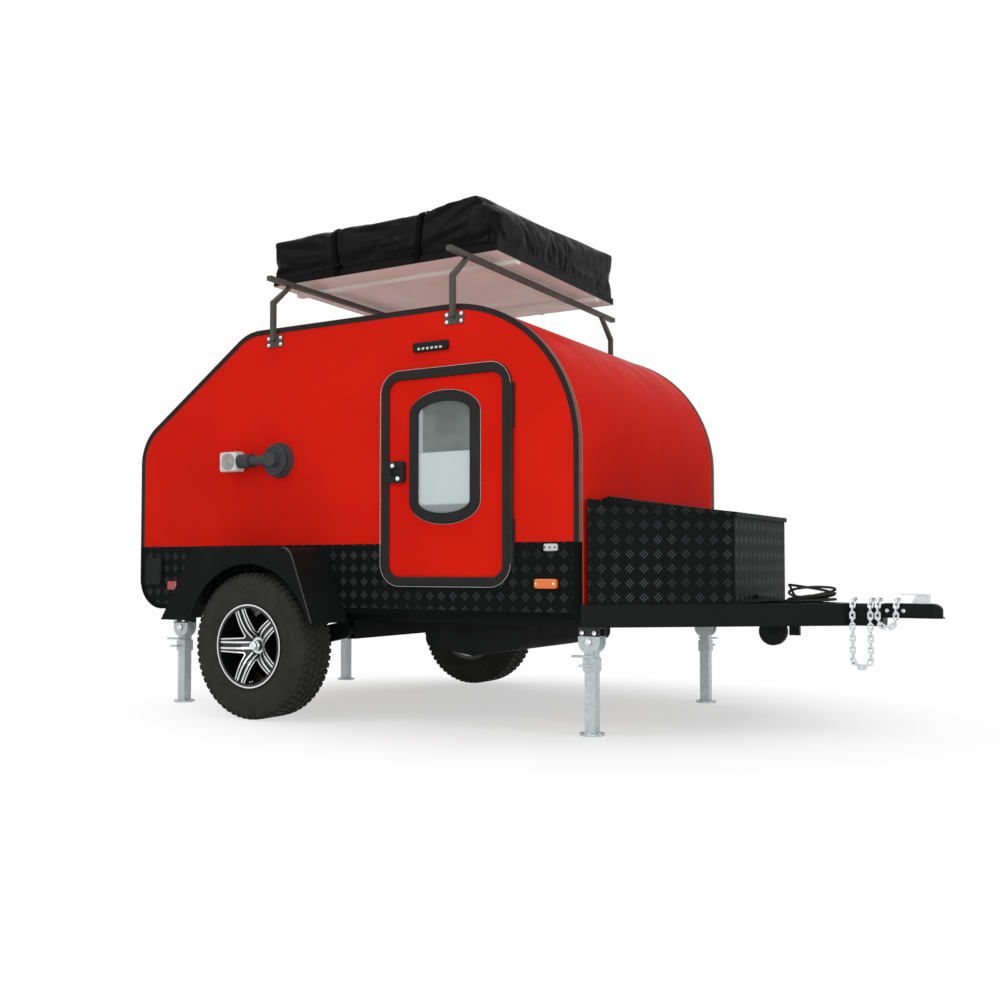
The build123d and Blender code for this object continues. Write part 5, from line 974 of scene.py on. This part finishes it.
class TRAILER_OT_tent_cover(bpy.types.Operator):
    """Vinyl cover strapped over the folded roof tent, with its hem, straps and corner patches"""
    bl_idname = "trailer.tent_cover"
    bl_label = "Fit the tent cover"

    def execute(self, context):
        soft = context.scene.trailer_soft
        self.low, self.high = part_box("tent_cover")
        cloth = bpy.data.materials["tent_vinyl"]
        cover = self.cover(soft)
        put(cover, "trailer", cloth)
        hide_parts("tent_cover")
        put(self.hem(), "trailer", cloth)
        for number, (foot, head) in enumerate(STRAPS):
            strap = self.strap("tent_strap_%d" % number, cover, foot, head, soft)
            put(strap, "trailer", bpy.data.materials["webbing"])
        put(self.patches(cover), "trailer", cloth)
        return {"FINISHED"}

    def height(self, x, y, soft):
        """Height of the folded tent above its base: the front corner on the right has sunk."""
        places = (self.low.x, self.low.x + soft.flat, self.high.x - soft.nose, self.high.x)
        right = np.interp(x, places, (soft.rear, soft.rear, soft.ridge - soft.sag, soft.front))
        left = np.interp(x, places, (soft.rear, soft.rear, soft.ridge, soft.far_front))
        share = (y - self.low.y) / (self.high.y - self.low.y)
        return right + (left - right) * np.clip(share, 0, 1)

    def cover(self, soft):
        """Closed skin over the folded tent, pinched under the straps, creased and filled out."""
        cover = block("tent_cover_cloth", self.low, (self.high.x, self.high.y, self.low.z + 1.0))
        edit(cover)
        bpy.ops.mesh.subdivide(number_cuts=30)
        close(cover)
        rows = coordinates(cover)
        share = rows[:, 2] - self.low.z
        rows[:, 0] = np.clip(rows[:, 0], self.low.x + 0.002, self.high.x - 0.002)
        rows[:, 1] *= 1.0 - 0.012 * share
        rows[:, 2] = self.low.z + share * self.height(rows[:, 0], rows[:, 1], soft)
        reshape(cover, rows)
        skin(cover, soft.voxel, 5)
        rows = coordinates(cover)
        x, y, z = rows.T
        top = self.height(x, y, soft)
        share = np.clip((z - self.low.z) / top, 0, 1)
        pinch = bump_at(x, -0.83 - 0.03 * share, 0.07) + bump_at(x, -0.30 + 0.03 * share, 0.07)
        swell = np.sin(np.pi * share) ** 0.8
        side = np.clip((np.abs(y) - 0.58) / 0.05, 0, 1) * np.sign(y)
        slack = 0.5 + 0.5 * np.sin(7.3 * x + 1.7) * np.sin(3.1 * x - 0.6)
        up = z - self.low.z
        crease = sum(depth * np.clip(1 - np.abs((x - x0) / (x1 - x0) * 2 - 1), 0, 1) ** 0.5
                     * bump_at(up, z0 + (z1 - z0) * np.clip((x - x0) / (x1 - x0), 0, 1), width)
                     for x0, z0, x1, z1, depth, width in CREASES)
        rows[:, 1] += side * (swell * 0.007 * slack * (1 - pinch) - 0.005 * pinch * share - crease)
        lid = np.clip((share - 0.8) / 0.15, 0, 1)
        rows[:, 2] += lid * (0.003 * bump_at(np.abs(y), 0.56, 0.07) * (1 - pinch) - 0.002 * pinch
                             + 0.002 * np.sin(9 * x + 5 * y) - 0.008 * bump_at(y, 0, 0.35))
        front = np.clip((x - self.high.x + 0.06) / 0.04, 0, 1)
        sag = bump_at(up, 0.06 + 0.03 * np.sin(4 * y), 0.02) * bump_at(y, 0.25, 0.3)
        rows[:, 0] += front * (0.005 * np.sin(6 * y + 1.0) * swell - 0.005 * sag)
        reshape(cover, rows)
        hold = np.clip(1.2 - 24 * up, 0, 1)
        fill_out(cover, 0.5, 0.02, 0.010, hold)
        return cover

    def hem(self):
        """Band round the foot of the cover, open above and below."""
        grow = Vector((0.003, 0.003, 0))
        hem = block("tent_hem",
                    self.low - grow - Vector((0, 0, HEM_DROP)),
                    Vector((self.high.x, self.high.y, self.low.z + 0.006)) + grow)
        pick(hem, lambda face: abs(face.normal.z) > 0.9)
        bpy.ops.mesh.delete(type="FACE")
        close(hem, 40)
        modify(hem, "SOLIDIFY", thickness=0.0025, offset=-1)
        modify(hem, "BEVEL", width=0.001, segments=2, limit_method="ANGLE")
        crisp(hem)
        return hem

    def strap(self, name, cover, foot, head, soft):
        """Webbing up one side, over the top and down the other, drawn on to the cloth."""
        bpy.ops.object.select_all(action="DESELECT")
        bpy.ops.mesh.primitive_grid_add(x_subdivisions=3, y_subdivisions=180, size=1)
        strap = fresh(name)
        rows = coordinates(strap)
        half = self.high.y + 0.02
        low = self.low.z - STRAP_DROP
        rise = soft.rear + 0.06
        run = (rows[:, 1] + 0.5) * (2 * rise + 2 * half)
        up = np.minimum(run, rise)
        across = np.clip(run - rise, 0, 2 * half)
        down = np.clip(run - rise - 2 * half, 0, rise)
        share = (up - down) / rise
        middle = foot + (head - foot) * share
        placed = np.stack((middle + rows[:, 0] * soft.webbing, across - half, low + up - down), axis=1)
        reshape(strap, placed)
        modify(strap, "SHRINKWRAP", target=cover, wrap_method="NEAREST_SURFACEPOINT", offset=0.005)
        rows = coordinates(strap)
        rows[:, 2] = np.minimum(rows[:, 2], placed[:, 2])
        lower = placed[:, 2] < self.low.z + 0.02
        rows[lower, 1] = np.sign(placed[lower, 1]) * (self.high.y + 0.006)
        rows[lower, 2] = placed[lower, 2]
        reshape(strap, rows)
        modify(strap, "SOLIDIFY", thickness=0.0025, offset=1)
        parts = [strap]
        for side in (-1, 1):
            y = side * (self.high.y + 0.008)
            buckle = block(
                name + "_buckle", (foot - 0.024, y - 0.006, self.low.z + 0.004),
                (foot + 0.024, y + 0.006, self.low.z + 0.034), 0.004)
            slot = block(
                "slot", (foot - 0.016, y - 0.008, self.low.z + 0.012),
                (foot + 0.016, y + 0.008, self.low.z + 0.017), 0.001)
            modify(buckle, "BOOLEAN", operation="DIFFERENCE", object=slot, solver="EXACT")
            bpy.data.objects.remove(slot)
            parts.append(buckle)
        strap = joined(name, parts)
        crisp(strap)
        return strap

    def patches(self, cover):
        """Sewn corner pieces at the foot of the front corners."""
        parts = []
        for side in (-1, 1):
            bpy.ops.object.select_all(action="DESELECT")
            bpy.ops.mesh.primitive_grid_add(x_subdivisions=24, y_subdivisions=22, size=1)
            patch = fresh("tent_patch")
            rows = coordinates(patch)
            x = self.high.x - 0.125 + 0.16 * rows[:, 0]
            z = self.low.z + 0.020 + 0.105 * (rows[:, 1] + 0.5)
            reshape(patch, np.stack((x, np.full_like(x, side * (self.high.y + 0.02)), z), axis=1))
            modify(patch, "SHRINKWRAP", target=cover, wrap_method="PROJECT", use_project_y=True,
                   use_negative_direction=True, use_positive_direction=True, offset=0.003)
            modify(patch, "SOLIDIFY", thickness=0.003, offset=0)
            parts.append(patch)
        patches = joined("tent_patches", parts)
        crisp(patches)
        return patches


class TRAILER_OT_mattress(bpy.types.Operator):
    """Bed in the cabin, filled out under its ticking"""
    bl_idname = "trailer.mattress"
    bl_label = "Fill the mattress"

    def execute(self, context):
        low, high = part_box("mattress")
        inset = Vector((0.012, 0.012, 0.0))
        bed = block("mattress_foam", low + inset, high - inset - Vector((0, 0, 0.012)), 0.03, 3)
        skin(bed, 0.03, 3)
        hold = (coordinates(bed)[:, 2] < low.z + 0.02).astype(float)
        fill_out(bed, 3.0, 0.02, 0.011, hold, 12)
        rows = coordinates(bed)
        rows[:, 2] = np.clip(rows[:, 2], low.z, high.z)
        reshape(bed, rows)
        near, far = 0.02, 0.05  # piping to the bed's side, on a run and at a corner
        piping = (
            (low.x + near, low.y + far), (low.x + far, low.y + near), (high.x - far, low.y + near),
            (high.x - near, low.y + far), (high.x - near, high.y - far), (high.x - far, high.y - near),
            (low.x + far, high.y - near), (low.x + near, high.y - far))
        edge = tube("mattress_piping", [(x, y, high.z - 0.03) for x, y in piping], 0.006, closed=True)
        cloth = bpy.data.materials["mattress_cloth"]
        put(bed, "trailer", cloth)
        put(edge, "trailer", cloth)
        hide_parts("mattress")
        return {"FINISHED"}


BRAKE_PLATE = (  # radius, depth inward of the wheel's middle
    (0.062, 0.088), (0.168, 0.088), (0.176, 0.082), (0.176, 0.074), (0.172, 0.072), (0.166, 0.078),
    (0.128, 0.078), (0.122, 0.072), (0.080, 0.072), (0.074, 0.078), (0.062, 0.078), (0.062, 0.088))
TREAD_ROWS = (  # place across, width, share of a pitch, lag in pitches, lean
    (0.0, 0.024, 0.66, 0.0, 0.0), (0.042, 0.026, 0.70, 0.5, 0.0), (-0.042, 0.026, 0.70, 0.5, 0.0),
    (0.0765, 0.030, 0.62, 0.1, 0.08), (-0.0765, 0.030, 0.62, 0.1, -0.08),
    (0.0985, 0.016, 0.50, 0.1, 0.85), (-0.0985, 0.016, 0.50, 0.1, -0.85))


class TRAILER_OT_tyres(bpy.types.Operator):
    """Tyres with moulded side walls and a blocked tread, the valves, cap faces and brake plates"""
    bl_idname = "trailer.tyres"
    bl_label = "Mould the tyres"

    def execute(self, context):
        wheels = context.scene.trailer_wheels
        rubber = bpy.data.materials["tyre_rubber"]
        for side in ("right", "left"):
            low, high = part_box("tyre_" + side)
            centre = (low + high) / 2
            out = -1 if side == "right" else 1
            radius = (high.x - low.x) / 2
            tyre = joined("tyre_%s_moulded" % side, [
                self.carcass(centre, radius, wheels.groove), self.tread(centre, radius, wheels)])
            put(tyre, "wheel_" + side, rubber)
            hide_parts("tyre_" + side)
            put(self.valve(side, centre, out), "wheel_" + side, bpy.data.materials["bright_metal"])
            plate = lathe("brake_plate_" + side, centre, [(r, -out * y) for r, y in BRAKE_PLATE], 64)
            put(plate, "wheel_" + side, bpy.data.materials["fender_black"])
        return {"FINISHED"}

    def carcass(self, centre, radius, groove):
        """Side walls and the ground of the tread, both halves from one."""
        base = radius - groove
        half = [  # radius, place across
            (0.1945, 0.0905), (0.2010, 0.0985), (0.2075, 0.1020), (0.2130, 0.1028), (0.2150, 0.1010),
            (0.2180, 0.1012), (0.2330, 0.1062), (0.2520, 0.1096), (0.2760, 0.1118), (0.2980, 0.1114),
            (0.3040, 0.1108), (0.3050, 0.1118), (0.3080, 0.1114), (0.3090, 0.1100), (0.3190, 0.1080),
            (0.3200, 0.1090), (0.3230, 0.1084), (0.3240, 0.1070), (0.3320, 0.1038), (0.3400, 0.0985),
            (base - 0.004, 0.0915), (base - 0.001, 0.0850), (base, 0.0700), (base + 0.0006, 0.0350),
            (base + 0.0008, 0.0)]
        stations = half + [(r, -y) for r, y in reversed(half[:-1])] + [half[0]]
        return lathe("carcass", centre, stations, 128)

    def tread(self, centre, radius, wheels):
        """One pitch of blocks, then the rest of the ring by turning copies about the axle."""
        step = 2 * pi / wheels.pitches
        base = radius - wheels.groove
        parts = []
        for across, width, share, late, lean in TREAD_ROWS:
            angle = step * late
            deep = wheels.groove + 0.004
            middle = base + wheels.groove / 2 - 0.0025 - 0.012 * (abs(lean) > 0.5)
            place = centre + Vector((middle * sin(angle), across, middle * cos(angle)))
            bpy.ops.object.select_all(action="DESELECT")
            bpy.ops.mesh.primitive_cube_add(
                size=1, location=place, rotation=(-lean, angle, 0),
                scale=(share * step * radius, width, deep))
            cube = fresh("tread_block")
            modify(cube, "BEVEL", width=0.0014, segments=1, limit_method="NONE")
            parts.append(cube)
        ring = joined("tread", parts)
        edit(ring)
        bpy.ops.mesh.spin(
            steps=wheels.pitches - 1, angle=2 * pi - step, dupli=True, use_auto_merge=False,
            center=centre, axis=(0, 1, 0))
        bpy.ops.mesh.select_all(action="SELECT")
        bpy.ops.mesh.normals_make_consistent(inside=False)
        bpy.ops.object.mode_set(mode="OBJECT")
        crisp(ring, 30)
        rows = coordinates(ring)
        away = np.hypot(rows[:, 0] - centre.x, rows[:, 2] - centre.z)
        pull = np.minimum(1, (radius - 0.0002) / away)
        rows[:, 0] = centre.x + (rows[:, 0] - centre.x) * pull
        rows[:, 2] = centre.z + (rows[:, 2] - centre.z) * pull
        reshape(ring, rows)
        return ring

    def valve(self, side, centre, out):
        """Tyre valve and the stepped cap of the hub."""
        valve = lathe("valve", centre + Vector((0.0, out * 0.070, -0.176)), [
            (0.0005, 0.0), (0.0055, 0.0), (0.0055, out * 0.008), (0.0042, out * 0.010), (0.0042, out * 0.022),
            (0.0005, out * 0.023)], 14)
        crown = lathe("crown", centre, [
            (0.0006, out * 0.0735), (0.0190, out * 0.0735), (0.0200, out * 0.0750), (0.0165, out * 0.0775),
            (0.0150, out * 0.0765), (0.0006, out * 0.0765)], 32)
        return joined("wheel_valve_" + side, [valve, crown])


FOOT_PLATE = 0.006
COUPLER_SIDE = 0.0345
LEG_PIVOT_Z = 0.412
HANDLE_FACE = 0.8722
STEP_LAMP_FACE = 0.868
PULL = (  # along and outward from the leg's middle
    (-0.018, 0.020), (-0.028, 0.040), (-0.058, 0.056), (-0.064, 0.068), (-0.052, 0.078),
    (0.030, 0.078), (0.040, 0.068), (0.030, 0.045), (0.018, 0.020))


class TRAILER_OT_fastenings(bpy.types.Operator):
    """Bolts of the rack feet, legs and coupler, the legs' pulls and the screws of the small fittings"""
    bl_idname = "trailer.fastenings"
    bl_label = "Put in the fastenings"

    def execute(self, context):
        metal = bpy.data.materials["bright_metal"]
        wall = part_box("side_wall_left")[1].y
        foot_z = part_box("rack_posts")[0].z
        bar_low, bar_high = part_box("rack_crossbars")
        feet = [((middle + dx, side * (wall + FOOT_PLATE), foot_z + dz), (0, side, 0))
                for middle in (bar_low.x + 0.014, bar_high.x - 0.014)
                for side in (-1, 1) for dx in (-0.04, 0.04) for dz in (0.012, 0.046)]
        put(many("rack_bolts", bolt(0.0062, 0.006, 0.009), feet), "trailer", metal)
        tows = [((x, side * COUPLER_SIDE, 0.549), (0, side, 0)) for x in (1.801, 1.871) for side in (-1, 1)]
        put(many("coupler_bolts", bolt(0.0062, 0.006, 0.0085), tows),
            "trailer", bpy.data.materials["grey_steel"])
        rails, pivots = [], []
        for name in ("leg_front_right", "leg_front_left", "leg_rear_right", "leg_rear_left"):
            low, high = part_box(name)
            half = (high.x - low.x) / 2
            out = -1 if low.y < 0 else 1
            x, y = low.x + half, (low.y + half if out > 0 else high.y - half)
            foot = [((x + dx, y + dy, 0.0085), (0, 0, 1))
                    for dx, dy in ((0.036, 0), (-0.036, 0), (0, 0.036), (0, -0.036))]
            pads = many(name + "_studs", bolt(0.005, 0.004, 0.007), foot)
            put(pads, name, metal)
            loop = [(x + dx, y + out * dy, LEG_PIVOT_Z - 0.062) for dx, dy in PULL]
            pull = tube(name + "_pull", loop, 0.004)
            put(pull, name, bpy.data.materials["zinc"])
            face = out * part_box("leg_brackets")[1].y
            rails += [((x + dx, face, LEG_PIVOT_Z + 0.040), (0, out, 0)) for dx in (-0.03, 0.03)]
            pivots.append(((x, face, LEG_PIVOT_Z), (0, out, 0)))
        put(many("bracket_bolts", bolt(0.007, 0.006, 0.010), rails), "trailer", metal)
        put(many("pivot_bolts", bolt(0.011, 0.008, 0.015), pivots), "trailer", metal)
        self.screws(metal)
        return {"FINISHED"}

    def screws(self, metal):
        """Countersunk heads on the lamps and the door handles."""
        for side in ("right", "left"):
            out = -1 if side == "right" else 1
            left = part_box("door_fittings_" + side)[0].x
            spots = [((left + along, out * HANDLE_FACE, z), (0, out, 0))
                     for along, z in ((0.0285, 1.2262), (0.0589, 1.1638))]
            locks = many("handle_locks_" + side, bolt(0.0085, 0.003, 0.0105), spots)
            put(locks, "door_" + side, metal)
        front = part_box("clear_lenses")[1].x
        dark = bpy.data.materials["black_plastic"]
        spots = [((front - along, out * STEP_LAMP_FACE, 0.829), (0, out, 0))
                 for along in (0.009, 0.034, 0.059) for out in (-1, 1)]
        put(many("step_lamp_screws", bolt(0.0045, 0.0022, 0.006), spots), "trailer", dark)
        low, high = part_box("amber_markers")
        spots = [((x, out * high.y, (low.z + high.z) / 2), (0, out, 0))
                 for x in (low.x + 0.012, high.x - 0.012) for out in (-1, 1)]
        put(many("marker_screws", bolt(0.004, 0.0025, 0.005), spots), "trailer", metal)


class TRAILER_OT_edgings(bpy.types.Operator):
    """Rolled lips of the fenders and thin seals round windows and doors, coloured paler than their
    surroundings as painted highlights along those edges
    """
    bl_idname = "trailer.edgings"
    bl_label = "Roll the edges"

    def execute(self, context):
        lip_highlight = bpy.data.materials["lip_highlight_grey"]
        seal_highlight = bpy.data.materials["bright_ring_and_highlight"]
        low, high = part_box("fenders")
        for out, name in ((-1, "right"), (1, "left")):
            line = self.fender_line(low, high, out * (high.y - 0.005))
            # The lip tube is a rolled edge, and its paler grey is a painted highlight along it.
            put(tube("fender_lip_" + name, line, 0.0048), "trailer", lip_highlight)
            # The seal tubes are coloured bright as a painted highlight round the window and door rings.
            rings = (("window", self.oval(-0.0012), 0.8530),
                     ("door", self.door("door_panel_" + name, -0.004), 0.8638))
            for what, ring, proud in rings:
                points = [(x, out * proud, z) for x, z in ring]
                put(tube("%s_seal_%s" % (what, name), points, 0.0018, closed=True, corners=1),
                    "door_" + name, seal_highlight)
        return {"FINISHED"}

    def fender_line(self, low, high, y):
        """Outer edge of a fender: two slopes and a level top with rounded corners."""
        axle = (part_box("tyre_right")[0].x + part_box("tyre_right")[1].x) / 2
        corners = [Vector((low.x + 0.004, low.z + 0.002)), Vector((axle - 0.362, high.z - 0.004)),
                   Vector((axle + 0.262, high.z - 0.004)), Vector((high.x - 0.004, low.z + 0.002))]
        points = [corners[0]]
        for before, corner, after in zip(corners, corners[1:], corners[2:]):
            start = corner + (before - corner).normalized() * 0.045
            end = corner + (after - corner).normalized() * 0.045
            for step in range(9):
                t = step / 8
                points.append(start * (1 - t) ** 2 + corner * 2 * t * (1 - t) + end * t * t)
        points.append(corners[-1])
        return [(p.x, y, p.y) for p in points]

    def oval(self, inset):
        """Outline of the window frame: straight sides between two half ovals."""
        low, high = Vector((-0.2132, 0, 0.9447)), Vector((0.1792, 0, 1.5692))
        half = (high.x - low.x) / 2 - inset
        middle = (low.x + high.x) / 2
        crown = 0.108
        points = []
        for start, level in ((0, high.z - inset - crown), (pi, low.z + inset + crown)):
            for step in range(49):
                angle = start + pi * step / 48
                points.append((middle + half * cos(angle), level + (crown - inset) * sin(angle)))
        return points

    def door(self, node, inset):
        """Outline of a door leaf with round corners."""
        low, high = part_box(node)
        round_off = 0.11
        points = []
        left, right = low.x + inset + round_off, high.x - inset - round_off
        foot, head = low.z + inset + round_off, high.z - inset - round_off
        for number, (x, z) in enumerate(((right, head), (left, head), (left, foot), (right, foot))):
            for step in range(13):
                angle = pi / 2 * (number + step / 12)
                points.append((x + round_off * cos(angle), z + round_off * sin(angle)))
        return points


LAMP_Z = 1.288
CUP_FACE = -0.8955
LENS_RINGS = (  # radius, place before the lens
    (0.044, 0.002), (0.044, -0.002), (0.041, -0.003), (0.038, -0.001), (0.028, -0.001), (0.026, -0.0035),
    (0.023, -0.0035), (0.021, -0.001), (0.011, -0.001), (0.008, -0.004), (0.0005, -0.004))
CUP = (  # radius, place before the face
    (0.078, 0.004), (0.076, -0.002), (0.066, -0.003), (0.062, 0.001), (0.034, 0.001), (0.032, -0.006),
    (0.026, -0.008), (0.0005, -0.008))


class TRAILER_OT_lamps(bpy.types.Operator):
    """Diodes of the awning lights, cup and lens rings of the swivel lamp"""
    bl_idname = "trailer.lamps"
    bl_label = "Fit the lamp details"

    def execute(self, context):
        clear = bpy.data.materials["clear_lens"]
        for out, name in ((-1, "right"), (1, "left")):
            near, far = sorted((out * 0.866, out * 0.8712))
            starts = [-0.160 + 0.0245 * number for number in range(6)]
            diodes = [block("diode", (x, near, 1.767), (x + 0.015, far, 1.779), 0.002, 1) for x in starts]
            put(joined("awning_diodes_" + name, diodes), "trailer", clear)
        cup = lathe("lamp_cup", (-1.022, 0, LAMP_Z), [(r, CUP_FACE + y) for r, y in CUP], 48)
        put(cup, "trailer", bpy.data.materials["lamp_grey"])
        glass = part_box("clear_lenses")[0]
        ring = lathe(
            "lamp_lens_ring", (glass.x + 0.056, 0, LAMP_Z), [(r, glass.y + y) for r, y in LENS_RINGS], 40)
        put(ring, "trailer", bpy.data.materials["bright_ring_and_highlight"])
        return {"FINISHED"}


class TRAILER_PT_tools(bpy.types.Panel):
    """Steps of the dressing, in order"""
    bl_idname = "TRAILER_PT_tools"
    bl_label = "Teardrop trailer"
    bl_space_type = "VIEW_3D"
    bl_region_type = "UI"
    bl_category = "Trailer"

    def draw(self, context):
        for step in STEPS:
            self.layout.operator(step.bl_idname)


STEPS = (
    TRAILER_OT_stage, TRAILER_OT_finishes, TRAILER_OT_tow_cable, TRAILER_OT_tent_cover, TRAILER_OT_mattress,
    TRAILER_OT_tyres, TRAILER_OT_fastenings, TRAILER_OT_edgings, TRAILER_OT_lamps)
GROUPS = {
    "trailer_finishes": TrailerFinishes, "trailer_stage": TrailerStage, "tow_cable": TowCable,
    "trailer_soft": SoftParts, "trailer_wheels": WheelParts}


def register():
    for name, group in GROUPS.items():
        bpy.utils.register_class(group)
        setattr(bpy.types.Scene, name, bpy.props.PointerProperty(type=group))
    for cls in STEPS + (TRAILER_PT_tools,):
        bpy.utils.register_class(cls)


def unregister():
    for cls in reversed(STEPS + (TRAILER_PT_tools,)):
        bpy.utils.unregister_class(cls)
    for name, group in GROUPS.items():
        delattr(bpy.types.Scene, name)
        bpy.utils.unregister_class(group)


def main():
    register()
    bpy.ops.trailer.stage()
    bpy.ops.trailer.finishes()
    bpy.ops.trailer.tow_cable()
    bpy.ops.trailer.tent_cover()
    bpy.ops.trailer.mattress()
    bpy.ops.trailer.tyres()
    bpy.ops.trailer.fastenings()
    bpy.ops.trailer.edgings()
    bpy.ops.trailer.lamps()


if __name__ == "__main__":
    main()
